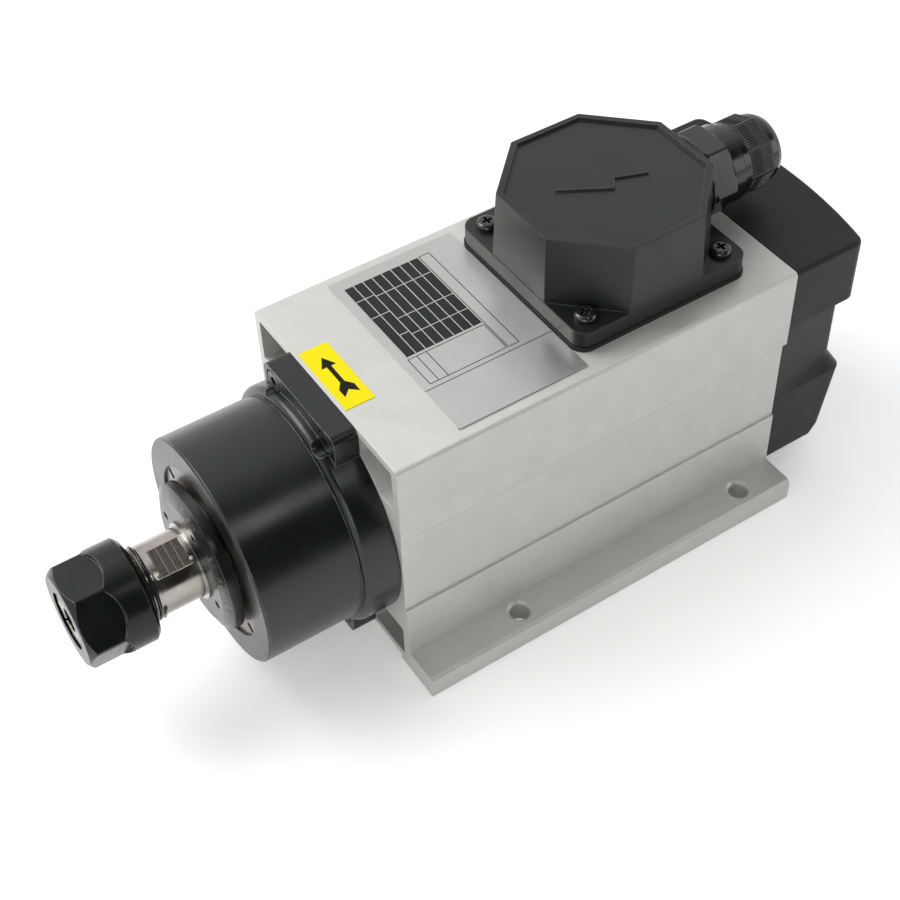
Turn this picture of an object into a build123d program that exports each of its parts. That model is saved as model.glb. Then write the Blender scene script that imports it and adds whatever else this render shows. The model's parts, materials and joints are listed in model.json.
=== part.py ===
"""Square air-cooled motor spindle with a collet nose, foot mounting and a terminal box.

The frame has its origin at the centre of the four foot holes, on the underside of the feet.
The nose points along -Y, the fan cover is at +Y and +Z is up. All lengths are millimetres.
"""
from build123d import *
from math import atan2, cos, degrees, pi, radians, sin, sqrt, tan
import os

# ---------------------------------------------------------------- driving dimensions
# Spindle axis and foot mounting
axis_height = 48.0
foot_pitch_x = 96.0
foot_pitch_y = 92.0
foot_hole_radius = 3.3
foot_hole_chamfer = 0.9
front_hole_setback = 38.5

# Extruded housing
housing_length = 148.0
upper_wall_overhang = 1.3
housing_width = 84.0
housing_top = 93.5
housing_wall = 2.7
housing_edge_radius = 1.4
bore_radius = 38.0
bore_wall = 3.2
foot_width = 110.0
foot_thickness = 8.6
foot_chamfer = 1.1
foot_inner_width = 73.8
underside_relief = 2.3
upper_step_height = 63.0
upper_step_depth = 0.4
lower_step_height = 30.5
lower_step_depth = 0.8
channel_floor_height = 75.0
channel_ceiling_height = 17.5
channel_inner_x = 20.5
channel_corner_radius = 1.0
wire_port_radius = 6.0

# Front bracket with the nose
nose_length = 44.4
nose_radius = 38.0
nose_edge_chamfer = 0.6
shoulder_length = 12.0
shoulder_radius = 40.6
shoulder_round = 2.3
lug_thickness = 8.3
lug_width = 42.0
lug_corner_radius = 3.0
lug_top_gap = 0.3
lug_bottom_height = 1.6
spigot_length = 7.0
spigot_clearance = 0.05
spigot_wall = 4.0
bearing_lip_height = 4.0
bearing_lip_width = 4.0
bracket_screw_x = 15.4
bracket_screw_rise = 40.4

# Retaining ring and dust cap in the nose face
ring_recess_depth = 5.9
ring_radius = 28.8
ring_sink = 0.9
ring_bore_radius = 21.0
ring_slot_count = 4
ring_slot_angle = 145.0
ring_slot_width = 2.6
ring_slot_length = 3.4
ring_slot_depth = 2.5
ring_thread_clearance = 0.02
cap_rim_radius = 24.6
cap_face_radius = 20.3
cap_rim_gap = 0.8
cap_rim_width = 3.3
cap_projection = 5.8
cap_pin_count = 4
cap_pin_angle = 70.0
cap_pin_circle = 16.5
cap_pin_radius = 1.3
cap_pin_depth = 2.5
cap_foot_height = 3.2
cap_foot_length = 1.5
labyrinth_gap = 0.4

# Front and rear bearings: bore, outside and width, and the ball size
front_bearing_bore = 25.0
front_bearing_outside = 52.0
front_bearing_width = 15.0
front_spacer_width = 2.0
front_ball_radius = 3.9
front_ball_count = 11
rear_bearing_bore = 17.0
rear_bearing_outside = 40.0
rear_bearing_width = 12.0
rear_ball_radius = 3.0
rear_ball_count = 10
ball_clearance = 0.05
cage_thickness = 1.6
cage_gap = 0.35
cage_prong_share = 0.4
cage_rim = 1.2
race_shoulder = 0.55

# Shaft
shaft_collar_radius = 12.9
shaft_collar_width = 0.8
shaft_neck_radius = 11.6
shaft_neck_length = 13.4
wrench_flat_span = 21.2
wrench_flat_length = 10.0
wrench_flat_setback = 1.9
wrench_flat_angle = 71.0
thread_radius = 12.4
thread_length = 18.8
thread_exposed = 4.2
thread_clearance = 0.08
thread_chamfer = 0.8
shaft_shoulder_radius = 15.5
rotor_seat_radius = 14.0
rear_shoulder_radius = 11.0
fan_seat_radius = 6.0
draw_bore_radius = 7.0
draw_bore_depth = 46.0

# Collet and its nut
collet_mouth_radius = 10.2
collet_taper = 8.0
collet_length = 31.5
collet_land = 1.2
collet_groove_width = 2.0
collet_groove_depth = 1.4
collet_face_margin = 0.6
collet_bore_radius = 4.0
collet_sink = 0.6
collet_slot_width = 0.7
collet_slot_pairs = 8
collet_slot_bridge = 6.0
collet_seat_gap = 0.02
nut_radius = 17.0
nut_across_flats = 30.0
nut_length = 22.6
nut_collar_length = 11.5
nut_front_radius = 14.6
nut_front_chamfer = 2.0
nut_mouth_radius = 9.4
nut_hex_angle = 33.0
nut_rear_chamfer = 1.3
nut_cone_angle = 30.0

# Rotor and stator
stator_setback = 34.0
stack_length = 70.0
stator_bore_radius = 25.0
air_gap = 0.5
slot_count = 18
slot_width = 4.2
slot_depth = 7.0
slot_liner = 0.3
winding_length = 13.0
winding_radius = 36.0
winding_bore_radius = 27.0
winding_round = 3.0
end_ring_length = 8.0

# Rear bracket, its screws (M3) and the bearing seat
rear_flange_radius = 38.1
rear_flange_thickness = 5.0
rear_ear_width = 62.0
rear_lug_width = 42.0
rear_lug_half_height = 38.4
rear_spigot_length = 12.0
rear_screw_x = 18.0
rear_screw_rise = 35.7
rear_screw_radius = 1.5
rear_screw_head_radius = 2.75
rear_screw_head_height = 3.0
rear_screw_socket = 2.5
spring_room = 2.4
spring_thickness = 0.6
spring_ring_width = 4.0
spring_side_gap = 0.4
shaft_hole_gap = 0.5

# Cooling fan
fan_radius = 33.0
fan_hub_radius = 11.0
fan_hub_length = 10.0
fan_plate_thickness = 2.0
fan_blade_count = 9
fan_blade_thickness = 1.8
fan_blade_height = 8.0
fan_blade_sweep = 34.0
fan_blade_bend = 0.28
fan_blade_root = 1.0
fan_gap = 4.0
fan_nut_flats = 13.0
fan_nut_length = 4.0
shaft_end_chamfer = 0.6
shaft_tail = 1.0

# Rear cover
cover_length = 34.0
cover_width = 83.2
cover_top_gap = 0.5
cover_bottom_height = 6.2
cover_bulge = 5.2
cover_wall = 2.6
cover_corner_radius = 4.0
cover_rim_radius = 1.4
cover_inner_round = 0.5
cover_toe_round = 3.0
cover_toe_height = 5.5
cover_toe_lean = 0.75
cover_lean = 0.19
cover_band_bottom = 36.8
cover_band_top = 69.2
cover_band_depth = 3.2
cover_band_slope = 5.2
cover_seat_gap = 0.2
grille_radius = 29.0
grille_depth = 6.0
grille_hub_radius = 8.0
grille_slot_width = 3.2
grille_rib_width = 2.4
grille_spoke_count = 6
grille_spoke_width = 3.4
cover_post_reach = 27.0
cover_post_radius = 4.2
cover_screw_depth = 16.0
cover_screw_radius = 1.5
cover_screw_head_radius = 2.8
cover_screw_head_height = 2.2
cover_screw_clearance = 0.5

# Terminal box
box_size = 65.6
box_draft = 1.0
box_corner_cut = 18.7
box_wall = 2.5
box_flange_height = 6.0
box_height = 30.0
box_setback = 70.8
box_corner_radius = 5.0
box_rim_width = 2.0
box_rim_depth = 0.9
box_rib_height = 0.6
box_rib_width = 1.0
box_ribs = (((-4.6, -15.7), (4.8, -0.2)), ((0.6, 2.5), (4.6, 13.0)))
box_screw_reach = 26.2
box_screw_tip = 1.0
gasket_thickness = 1.5
gasket_lip = 0.3
block_width = 40.0
block_depth = 16.0
block_height = 9.0
block_shift = -13.0
barrier_height = 5.0
barrier_thickness = 1.6
stud_count = 3
stud_pitch = 13.0
stud_radius = 2.0
stud_height = 9.0
terminal_nut_flats = 7.0
terminal_nut_height = 3.2
lead_radius = 1.2
lead_spacing = 3.2
lead_bend_radius = 5.0
lead_tag_radius = 5.0
lead_end_gap = 0.3
lead_tag_thickness = 0.8
port_shift = 7.4
earth_screw_x = 24.0
earth_screw_shift = 9.0

# Cable gland, an M20 size
gland_headroom = 0.4
gland_thread_radius = 9.9
gland_hole_clearance = 0.1
gland_pad_radius = 13.8
gland_pad_thickness = 3.6
gland_washer_radius = 14.4
gland_washer_thickness = 1.0
gland_hex_flats = 26.0
gland_hex_length = 8.7
gland_hex_angle = 90.0
gland_hex_corner_cut = 0.3
gland_hex_bevel = 0.8
gland_collar_radius = 13.2
gland_collar_length = 4.4
gland_throat_length = 11.0
gland_throat_clearance = 0.1
gland_lock_nut_flats = 22.0
gland_lock_nut_length = 4.0
gland_nut_radius = 12.4
gland_nut_flats = 23.4
gland_nut_ring_length = 2.6
gland_nut_facet_length = 9.4
gland_nut_end_length = 4.4
gland_nut_end_radius = 11.5
gland_nut_tip_radius = 10.4
gland_nut_mouth_radius = 6.2
gland_nut_gap = 0.5
gland_nut_facets = 8
gland_seal_radius = 7.4
gland_seal_clearance = 0.1
gland_seal_length = 10.0
gland_seal_head = 1.5
gland_seal_nose = 1.0
gland_throat_gap = 0.8
gland_nut_bevel = 2.2
gland_cable_radius = 4.5

# Rating plate and rotation label
plate_width = 75.4
plate_length = 46.2
plate_thickness = 0.5
plate_corner_radius = 1.0
plate_setback = 24.0
label_width = 28.6
label_length = 10.0
label_thickness = 0.2
label_setback = 1.2
label_shift_x = -2.0

# Bracket screws (M4 socket heads) and box screws (M4 pan heads)
cap_screw_radius = 2.0
cap_screw_head_radius = 3.5
cap_screw_head_height = 4.0
cap_screw_socket = 3.0
cap_screw_grip = 10.0
counterbore_radius = 4.0
pan_screw_radius = 1.9
pan_head_radius = 3.6
pan_head_height = 2.4
pan_head_round = 0.6
cross_recess = 1.0
screw_hole_clearance = 0.3

# ---------------------------------------------------------------- derived places
# Stations along the spindle, from the nose back to the fan cover
front_y = -(front_hole_setback + foot_pitch_y / 2)
rear_y = front_y + housing_length
upper_rear_y = rear_y + upper_wall_overhang
nose_y = front_y - nose_length
ring_seat_y = nose_y + ring_recess_depth
ring_front_y = nose_y + ring_sink
second_bearing_y = ring_seat_y + front_bearing_width + front_spacer_width
bearing_back_y = second_bearing_y + front_bearing_width
cap_rim_back_y = nose_y - cap_rim_gap
cap_rim_front_y = cap_rim_back_y - cap_rim_width
cap_face_y = nose_y - cap_projection
collar_front_y = cap_face_y - shaft_collar_width
neck_front_y = collar_front_y - shaft_neck_length
shaft_front_y = neck_front_y - thread_length
nut_back_y = neck_front_y - thread_exposed
hex_back_y = nut_back_y - nut_collar_length
nut_front_y = nut_back_y - nut_length
collet_front_y = nut_front_y + collet_sink
collet_back_y = collet_front_y + collet_length
stator_front_y = front_y + stator_setback
stator_rear_y = stator_front_y + stack_length
rear_bearing_y = rear_y - rear_bearing_width
spring_back_y = rear_y + spring_room
rear_flange_back_y = rear_y + rear_flange_thickness
fan_front_y = rear_flange_back_y + fan_gap
fan_back_y = fan_front_y + fan_hub_length
shaft_end_y = fan_back_y + fan_nut_length + shaft_tail
cover_front_y = upper_rear_y + cover_seat_gap
cover_rear_y = upper_rear_y + cover_length
grille_y = cover_rear_y - grille_depth - cover_wall

# Places across the housing, the terminal box and the gland
side_x = housing_width / 2
wall_inner_x = side_x - upper_step_depth - housing_wall
ring_outer_radius = bore_radius + bore_wall
box_centre_y = front_y + box_setback + box_size / 2
box_rear_y = box_centre_y + box_size / 2
box_base_z = housing_top + gasket_thickness
box_flange_z = box_base_z + box_flange_height
box_top_z = box_base_z + box_height
block_y = box_centre_y + block_shift
block_top_z = housing_top + block_height
port_y = box_centre_y + port_shift
gland_height = box_top_z - box_rim_depth - box_wall - gland_lock_nut_flats / 2 - gland_headroom
lock_nut_y = box_rear_y - gland_pad_thickness
gland_hex_y = box_rear_y + gland_washer_thickness
gland_collar_y = gland_hex_y + gland_hex_length
gland_collar_end_y = gland_collar_y + gland_collar_length
gland_nut_y = gland_collar_end_y + gland_nut_gap
gland_facet_y = gland_nut_y + gland_nut_ring_length
gland_end_y = gland_facet_y + gland_nut_facet_length
gland_tip_y = gland_end_y + gland_nut_end_length
gland_throat_y = gland_collar_end_y + gland_throat_length

SPINDLE = Axis((0, 0, axis_height), (0, 1, 0))
FRONT_BEARING = (front_bearing_bore, front_bearing_outside, front_ball_radius)
REAR_BEARING = (rear_bearing_bore, rear_bearing_outside, rear_ball_radius)


# ---------------------------------------------------------------- shared shapes
def turned(outline, height=axis_height):
    """Revolve (radius, y) corners about the axis along Y at the given height."""
    face = Pos(0, 0, height) * make_face(Polyline(*outline, close=True))
    return revolve(face, Axis((0, 0, height), (0, 1, 0)), 360)


def rod(radius, y0, y1, x=0.0, z=axis_height):
    """A cylinder along Y from y0 to y1."""
    return Pos(x, (y0 + y1) / 2, z) * Rot(X=90) * Cylinder(radius, abs(y1 - y0))


def tube(radius, bore, y0, y1, x=0.0, z=axis_height):
    """A plain ring along Y from y0 to y1."""
    return rod(radius, y0, y1, x, z) - rod(bore, y0, y1, x, z)


def cuboid(x0, x1, y0, y1, z0, z1):
    """A box between two corners."""
    return Pos((x0 + x1) / 2, (y0 + y1) / 2, (z0 + z1) / 2) * Box(x1 - x0, y1 - y0, z1 - z0)


def polygon(points):
    """A flat face through the given local corners."""
    return make_face(Polyline(*points, close=True))


def extruded(section, y0, y1):
    """Extrude a section drawn in X and Z from y0 to y1."""
    plane = Plane(origin=(0, y1, 0), x_dir=(1, 0, 0), z_dir=(0, -1, 0))
    return extrude(plane * section, y1 - y0)


def hexagon(flats, y0, y1, x=0.0, z=axis_height, turn=0.0):
    """A hexagonal prism along Y, with one flat facing the turn angle."""
    section = Pos(x, z) * RegularPolygon(flats / 2, 6, major_radius=False, rotation=turn + 30)
    return extruded(section, min(y0, y1), max(y0, y1))


def around(count, first=0.0):
    """The angles of a ring of equal features."""
    return [first + 360 * i / count for i in range(count)]


def on_circle(radius, angle):
    """The (x, z) place at an angle about the spindle axis, from +X towards +Z."""
    return radius * cos(radians(angle)), axis_height + radius * sin(radians(angle))


def at_angle(shape, angle):
    """Turn a shape drawn about the Y axis through an angle and set it on the spindle axis."""
    return Pos(0, 0, axis_height) * Rot(Y=-angle) * shape


def corners(x, rise):
    """The four (x, z) places of a screw pattern centred on the spindle axis."""
    return [(sx * x, axis_height + sz * rise) for sx in (-1, 1) for sz in (-1, 1)]


def cap_screw(x, z, seat_y, radius, head_radius, head_height, socket, grip):
    """A socket-head screw with its head seated at seat_y; a negative grip points it along -Y."""
    side = 1 if grip > 0 else -1
    crown_y = seat_y - side * head_height
    screw = rod(head_radius, seat_y, crown_y, x, z) + rod(radius, seat_y, seat_y + grip, x, z)
    return screw - hexagon(socket, crown_y, crown_y + side * head_height / 2, x, z)


def pan_screw(radius, head_radius, head_height, grip):
    """A cross-recess pan-head screw along -Z, with its head seated at the origin."""
    head = Pos(0, 0, head_height / 2) * Cylinder(head_radius, head_height)
    head = fillet(head.edges().group_by(Axis.Z)[-1], head_height * pan_head_round)
    shank = Pos(0, 0, -grip / 2) * Cylinder(radius, grip)
    cross = Box(head_radius, cross_recess, head_height) + Box(cross_recess, head_radius, head_height)
    return head + shank - Pos(0, 0, head_height) * cross


# ---------------------------------------------------------------- housing
def half_outline():
    """The right half of the extrusion's outside, from the top centre down to the underside."""
    middle = side_x - upper_step_depth
    lower = middle + lower_step_depth
    foot = foot_width / 2
    inner = foot_inner_width / 2
    return [
        (0, housing_top), (side_x, housing_top), (side_x, upper_step_height), (middle, upper_step_height),
        (middle, lower_step_height), (lower, lower_step_height), (lower, foot_thickness),
        (foot - foot_chamfer, foot_thickness), (foot, foot_thickness - foot_chamfer), (foot, 0),
        (inner, 0), (inner, underside_relief), (0, underside_relief),
    ]


def housing_section():
    """The extruded profile: stepped walls, feet, the stator ring and four air channels."""
    right = polygon(half_outline())
    outline = right + mirror(right, about=Plane.YZ)
    top = outline.vertices().group_by(Axis.Y)[-1].sort_by(Axis.X)
    section = fillet([top[0], top[-1]], housing_edge_radius)
    section -= Pos(0, axis_height) * Circle(bore_radius)
    ring = Pos(0, axis_height) * Circle(ring_outer_radius)
    ceiling = housing_top - housing_wall
    floor = underside_relief + housing_wall
    width = wall_inner_x - channel_inner_x
    for side in (-1, 1):
        for low, high in ((channel_floor_height, ceiling), (floor, channel_ceiling_height)):
            centre = Pos(side * (channel_inner_x + wall_inner_x) / 2, (low + high) / 2)
            section -= centre * RectangleRounded(width, high - low, channel_corner_radius) - ring
    return section


def housing_profile():
    """The housing: extruded, trimmed at the rear and drilled for its feet, screws and wires."""
    body = extruded(housing_section(), front_y, upper_rear_y)
    body -= cuboid(-foot_width, foot_width, rear_y, upper_rear_y, -1, upper_step_height)
    body -= cuboid(-wall_inner_x, wall_inner_x, rear_y, upper_rear_y, 0, housing_top - housing_wall)
    for x in (-foot_pitch_x / 2, foot_pitch_x / 2):
        for y in (-foot_pitch_y / 2, foot_pitch_y / 2):
            body -= Pos(x, y, foot_thickness / 2) * Cylinder(foot_hole_radius, foot_thickness)
            sink = Cone(foot_hole_radius, foot_hole_radius + foot_hole_chamfer, foot_hole_chamfer)
            body -= Pos(x, y, foot_thickness - foot_hole_chamfer / 2) * sink
    for x, z in corners(bracket_screw_x, bracket_screw_rise):
        body -= rod(cap_screw_radius, front_y, front_y + cap_screw_grip, x, z)
    for x, z in corners(rear_screw_x, rear_screw_rise):
        body -= rod(rear_screw_radius, rear_y - cap_screw_grip, rear_y, x, z)
    earth = (earth_screw_x, box_centre_y + earth_screw_shift)
    for x, y in box_screw_places() + [earth]:
        body -= Pos(x, y, housing_top - housing_wall / 2) * Cylinder(pan_screw_radius, housing_wall)
    port_floor = axis_height + bore_radius - housing_wall
    port = Cylinder(wire_port_radius, housing_top - port_floor)
    return body - Pos(0, port_y, (housing_top + port_floor) / 2) * port


# ---------------------------------------------------------------- front bracket and nose
def front_bracket():
    """The front bracket: nose cylinder, rounded shoulder, two screw lugs, spigot and bearing bore."""
    shoulder_y = front_y - shoulder_length
    lug_y = front_y - lug_thickness
    shell = rod(shoulder_radius, shoulder_y, front_y)
    shell = fillet(shell.edges().group_by(Axis.Y)[0], shoulder_round)
    nose = rod(nose_radius, nose_y, shoulder_y)
    nose = chamfer(nose.edges().group_by(Axis.Y)[0], nose_edge_chamfer)
    lug_top = housing_top - lug_top_gap
    lugs = RectangleRounded(lug_width, lug_top - lug_bottom_height, lug_corner_radius)
    body = shell + nose + extruded(Pos(0, (lug_top + lug_bottom_height) / 2) * lugs, lug_y, front_y)
    spigot = bore_radius - spigot_clearance
    spigot_y = front_y + spigot_length
    body += rod(spigot, front_y, spigot_y)
    ring = ring_radius + ring_thread_clearance
    seat = front_bearing_outside / 2
    lip = seat - bearing_lip_height
    lip_y = bearing_back_y + bearing_lip_width
    body -= turned([
        (0, nose_y), (ring, nose_y), (ring, ring_seat_y), (seat, ring_seat_y), (seat, bearing_back_y),
        (lip, bearing_back_y), (lip, lip_y), (spigot - spigot_wall, spigot_y), (0, spigot_y),
    ])
    for x, z in corners(bracket_screw_x, bracket_screw_rise):
        body -= rod(counterbore_radius, nose_y, lug_y + cap_screw_head_height, x, z)
        body -= rod(cap_screw_radius + screw_hole_clearance, lug_y, front_y, x, z)
    return body


def front_bracket_screws():
    """Four socket screws sunk in the lugs."""
    seat_y = front_y - lug_thickness + cap_screw_head_height
    grip = front_y - seat_y + cap_screw_grip
    size = (cap_screw_radius, cap_screw_head_radius, cap_screw_head_height, cap_screw_socket)
    return [cap_screw(x, z, seat_y, *size, grip) for x, z in corners(bracket_screw_x, bracket_screw_rise)]


def bearing_retaining_ring():
    """The threaded ring that holds the front bearings, with spanner slots in its face."""
    ring = tube(ring_radius, ring_bore_radius, ring_front_y, ring_seat_y)
    middle = (ring_radius + ring_bore_radius) / 2
    slot = cuboid(middle, middle + ring_slot_length, ring_front_y, ring_front_y + ring_slot_depth,
                 -ring_slot_width / 2, ring_slot_width / 2)
    for angle in around(ring_slot_count, ring_slot_angle):
        ring -= at_angle(slot, angle)
    return ring


def dust_cap():
    """The labyrinth cap on the shaft: chamfered face, overlapping rim, hub and pin-spanner holes."""
    bore = front_bearing_bore / 2
    hub = ring_bore_radius - labyrinth_gap
    foot = bore + cap_foot_height
    hub_y = ring_seat_y - cap_foot_length
    cap = turned([
        (bore, cap_face_y), (cap_face_radius, cap_face_y), (cap_rim_radius, cap_rim_front_y),
        (cap_rim_radius, cap_rim_back_y), (hub, cap_rim_back_y), (hub, hub_y), (foot, hub_y),
        (foot, ring_seat_y), (bore, ring_seat_y),
    ])
    for angle in around(cap_pin_count, cap_pin_angle):
        x, z = on_circle(cap_pin_circle, angle)
        cap -= rod(cap_pin_radius, cap_face_y, cap_face_y + cap_pin_depth, x, z)
    return cap


# ---------------------------------------------------------------- bearings
def race_radii(bore, outside, ball):
    """The ball pitch radius, then the shoulder radii of the inner and the outer race."""
    pitch = (bore + outside) / 4
    return pitch, pitch - race_shoulder * ball, pitch + race_shoulder * ball


def ball_track(pitch, ball, y):
    """The ring-shaped track at y, a running clearance larger than the balls."""
    return revolve(Pos(pitch, y, axis_height) * Circle(ball + ball_clearance), SPINDLE, 360)


def outer_race(size, y, width):
    """The outer ring of a deep-groove bearing whose front face is at y."""
    _, outside, ball = size
    pitch, _, shoulder = race_radii(*size)
    return tube(outside / 2, shoulder, y, y + width) - ball_track(pitch, ball, y + width / 2)


def inner_race(size, y, width):
    """The inner ring of a deep-groove bearing whose front face is at y."""
    bore, _, ball = size
    pitch, shoulder, _ = race_radii(*size)
    return tube(shoulder, bore / 2, y, y + width) - ball_track(pitch, ball, y + width / 2)


def ball_cage(size, count, y, width):
    """The crown cage of a bearing: a rim with prongs between the ball pockets."""
    _, _, ball = size
    pitch, _, _ = race_radii(*size)
    middle = y + width / 2
    front = middle - ball * cage_prong_share
    back = middle + ball + cage_gap + cage_rim
    ring = tube(pitch + cage_thickness / 2, pitch - cage_thickness / 2, front, back)
    pocket = Pos(pitch, middle, 0) * Rot(Y=90) * Cylinder(ball + cage_gap, 4 * cage_thickness)
    for angle in around(count):
        ring -= at_angle(pocket, angle)
    return ring


def ball_set(size, count, y, width):
    """The balls of a bearing, each a solid of its own."""
    _, _, ball = size
    pitch, _, _ = race_radii(*size)
    places = [on_circle(pitch, angle) for angle in around(count)]
    return [Pos(x, y + width / 2, z) * Sphere(ball) for x, z in places]


def front_outer_races():
    """The outer rings of the two front bearings."""
    return [outer_race(FRONT_BEARING, y, front_bearing_width) for y in (ring_seat_y, second_bearing_y)]


def front_inner_races():
    """The inner rings of the two front bearings."""
    return [inner_race(FRONT_BEARING, y, front_bearing_width) for y in (ring_seat_y, second_bearing_y)]


def front_cages():
    """The cages of the two front bearings."""
    places = (ring_seat_y, second_bearing_y)
    return [ball_cage(FRONT_BEARING, front_ball_count, y, front_bearing_width) for y in places]


def front_balls():
    """The balls of the two front bearings."""
    places = (ring_seat_y, second_bearing_y)
    sets = [ball_set(FRONT_BEARING, front_ball_count, y, front_bearing_width) for y in places]
    return sets[0] + sets[1]


def front_outer_spacer():
    """The ring between the outer races of the front bearings."""
    _, _, shoulder = race_radii(*FRONT_BEARING)
    spacer_y = ring_seat_y + front_bearing_width
    return tube(front_bearing_outside / 2, shoulder, spacer_y, second_bearing_y)


def front_inner_spacer():
    """The ring between the inner races of the front bearings."""
    _, shoulder, _ = race_radii(*FRONT_BEARING)
    spacer_y = ring_seat_y + front_bearing_width
    return tube(shoulder, front_bearing_bore / 2, spacer_y, second_bearing_y)


# ---------------------------------------------------------------- shaft, collet and nut
def seat_radius(y):
    """The radius of the collet seat in the shaft at y."""
    return collet_mouth_radius - (y - shaft_front_y) * tan(radians(collet_taper))


def spindle_shaft():
    """The ground shaft: threaded nose with wrench flats, collar, bearing and rotor seats, collet taper."""
    front_seat = front_bearing_bore / 2
    rear_seat = rear_bearing_bore / 2
    rotor_y0 = stator_front_y - end_ring_length
    rotor_y1 = stator_rear_y + end_ring_length
    shaft = turned([
        (0, shaft_front_y), (thread_radius - thread_chamfer, shaft_front_y),
        (thread_radius, shaft_front_y + thread_chamfer), (thread_radius, neck_front_y - thread_chamfer),
        (shaft_neck_radius, neck_front_y), (shaft_neck_radius, collar_front_y),
        (shaft_collar_radius, collar_front_y), (shaft_collar_radius, cap_face_y), (front_seat, cap_face_y),
        (front_seat, bearing_back_y), (shaft_shoulder_radius, bearing_back_y),
        (shaft_shoulder_radius, rotor_y0), (rotor_seat_radius, rotor_y0), (rotor_seat_radius, rotor_y1),
        (rear_shoulder_radius, rotor_y1), (rear_shoulder_radius, rear_bearing_y),
        (rear_seat, rear_bearing_y),
        (rear_seat, fan_front_y), (fan_seat_radius, fan_front_y),
        (fan_seat_radius, shaft_end_y - shaft_end_chamfer),
        (fan_seat_radius - shaft_end_chamfer, shaft_end_y),
        (0, shaft_end_y),
    ])
    taper_end_y = shaft_front_y + (collet_mouth_radius - draw_bore_radius) / tan(radians(collet_taper))
    bottom_y = shaft_front_y + draw_bore_depth
    shaft -= turned([
        (0, shaft_front_y), (collet_mouth_radius, shaft_front_y), (draw_bore_radius, taper_end_y),
        (draw_bore_radius, bottom_y), (0, bottom_y + draw_bore_radius / 2),
    ])
    flat_y = collar_front_y - wrench_flat_setback
    flat = cuboid(wrench_flat_span / 2, thread_radius, flat_y - wrench_flat_length, flat_y,
                 -thread_radius, thread_radius)
    return shaft - at_angle(flat, wrench_flat_angle) - at_angle(flat, wrench_flat_angle + 180)


def collet():
    """The spring collet: long taper, release groove, lead cone and slots sawn in from both ends."""
    taper_y = shaft_front_y - collet_land
    land = seat_radius(shaft_front_y) - collet_seat_gap
    small = seat_radius(collet_back_y) - collet_seat_gap
    groove = land - collet_groove_depth
    groove_y = taper_y - collet_groove_width
    face = nut_mouth_radius - collet_face_margin
    cone = face + (groove_y - collet_front_y) * tan(radians(nut_cone_angle))
    body = turned([
        (collet_bore_radius, collet_front_y), (face, collet_front_y), (cone, groove_y), (groove, groove_y),
        (groove, taper_y), (land, taper_y), (land, shaft_front_y), (small, collet_back_y),
        (collet_bore_radius, collet_back_y),
    ])
    half = collet_slot_width / 2
    front_slot = cuboid(0, nut_radius, collet_front_y, collet_back_y - collet_slot_bridge, -half, half)
    rear_slot = cuboid(0, nut_radius, collet_front_y + collet_slot_bridge, collet_back_y, -half, half)
    for i, angle in enumerate(around(2 * collet_slot_pairs)):
        body -= at_angle(rear_slot if i % 2 else front_slot, angle)
    return body


def collet_nut():
    """The clamping nut: round collar, milled hexagon, bevelled front, thread bore and inner cone."""
    barrel = turned([
        (0, nut_front_y), (nut_front_radius, nut_front_y), (nut_radius, nut_front_y + nut_front_chamfer),
        (nut_radius, nut_back_y - nut_rear_chamfer), (nut_radius - nut_rear_chamfer, nut_back_y),
        (0, nut_back_y),
    ])
    waste = rod(2 * nut_radius, nut_front_y, hex_back_y)
    waste -= hexagon(nut_across_flats, nut_front_y, hex_back_y, turn=nut_hex_angle)
    thread = thread_radius + thread_clearance
    cone_y = nut_front_y + (thread - nut_mouth_radius) / tan(radians(nut_cone_angle))
    bore = turned([
        (0, nut_front_y), (nut_mouth_radius, nut_front_y), (thread, cone_y), (thread, nut_back_y),
        (0, nut_back_y),
    ])
    return barrel - waste - bore


# ---------------------------------------------------------------- motor
def stator_core():
    """The laminated stator stack, slotted for its winding."""
    stack = tube(bore_radius, stator_bore_radius, stator_front_y, stator_rear_y)
    half = slot_width / 2
    slot = cuboid(0, winding_bore_radius + slot_depth, stator_front_y, stator_rear_y, -half, half)
    for angle in around(slot_count):
        stack -= at_angle(slot, angle)
    return stack


def stator_winding():
    """The varnished winding: bars through the slots, joined by an end turn at each end of the stack."""
    front_end = tube(winding_radius, winding_bore_radius, stator_front_y - winding_length, stator_front_y)
    rear_end = tube(winding_radius, winding_bore_radius, stator_rear_y, stator_rear_y + winding_length)
    front_end = fillet(front_end.edges().group_by(Axis.Y)[0], winding_round)
    rear_end = fillet(rear_end.edges().group_by(Axis.Y)[-1], winding_round)
    inner = winding_bore_radius + slot_liner
    outer = winding_bore_radius + slot_depth - slot_liner
    half = slot_width / 2 - slot_liner
    bar = cuboid(inner, outer, stator_front_y, stator_rear_y, -half, half)
    return front_end + [at_angle(bar, angle) for angle in around(slot_count)] + rear_end


def rotor_core():
    """The laminated rotor stack pressed on the shaft."""
    return tube(stator_bore_radius - air_gap, rotor_seat_radius, stator_front_y, stator_rear_y)


def rotor_end_rings():
    """The cast end rings of the rotor cage."""
    radius = stator_bore_radius - 2 * air_gap
    return [
        tube(radius, rotor_seat_radius, stator_front_y - end_ring_length, stator_front_y),
        tube(radius, rotor_seat_radius, stator_rear_y, stator_rear_y + end_ring_length),
    ]


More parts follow.
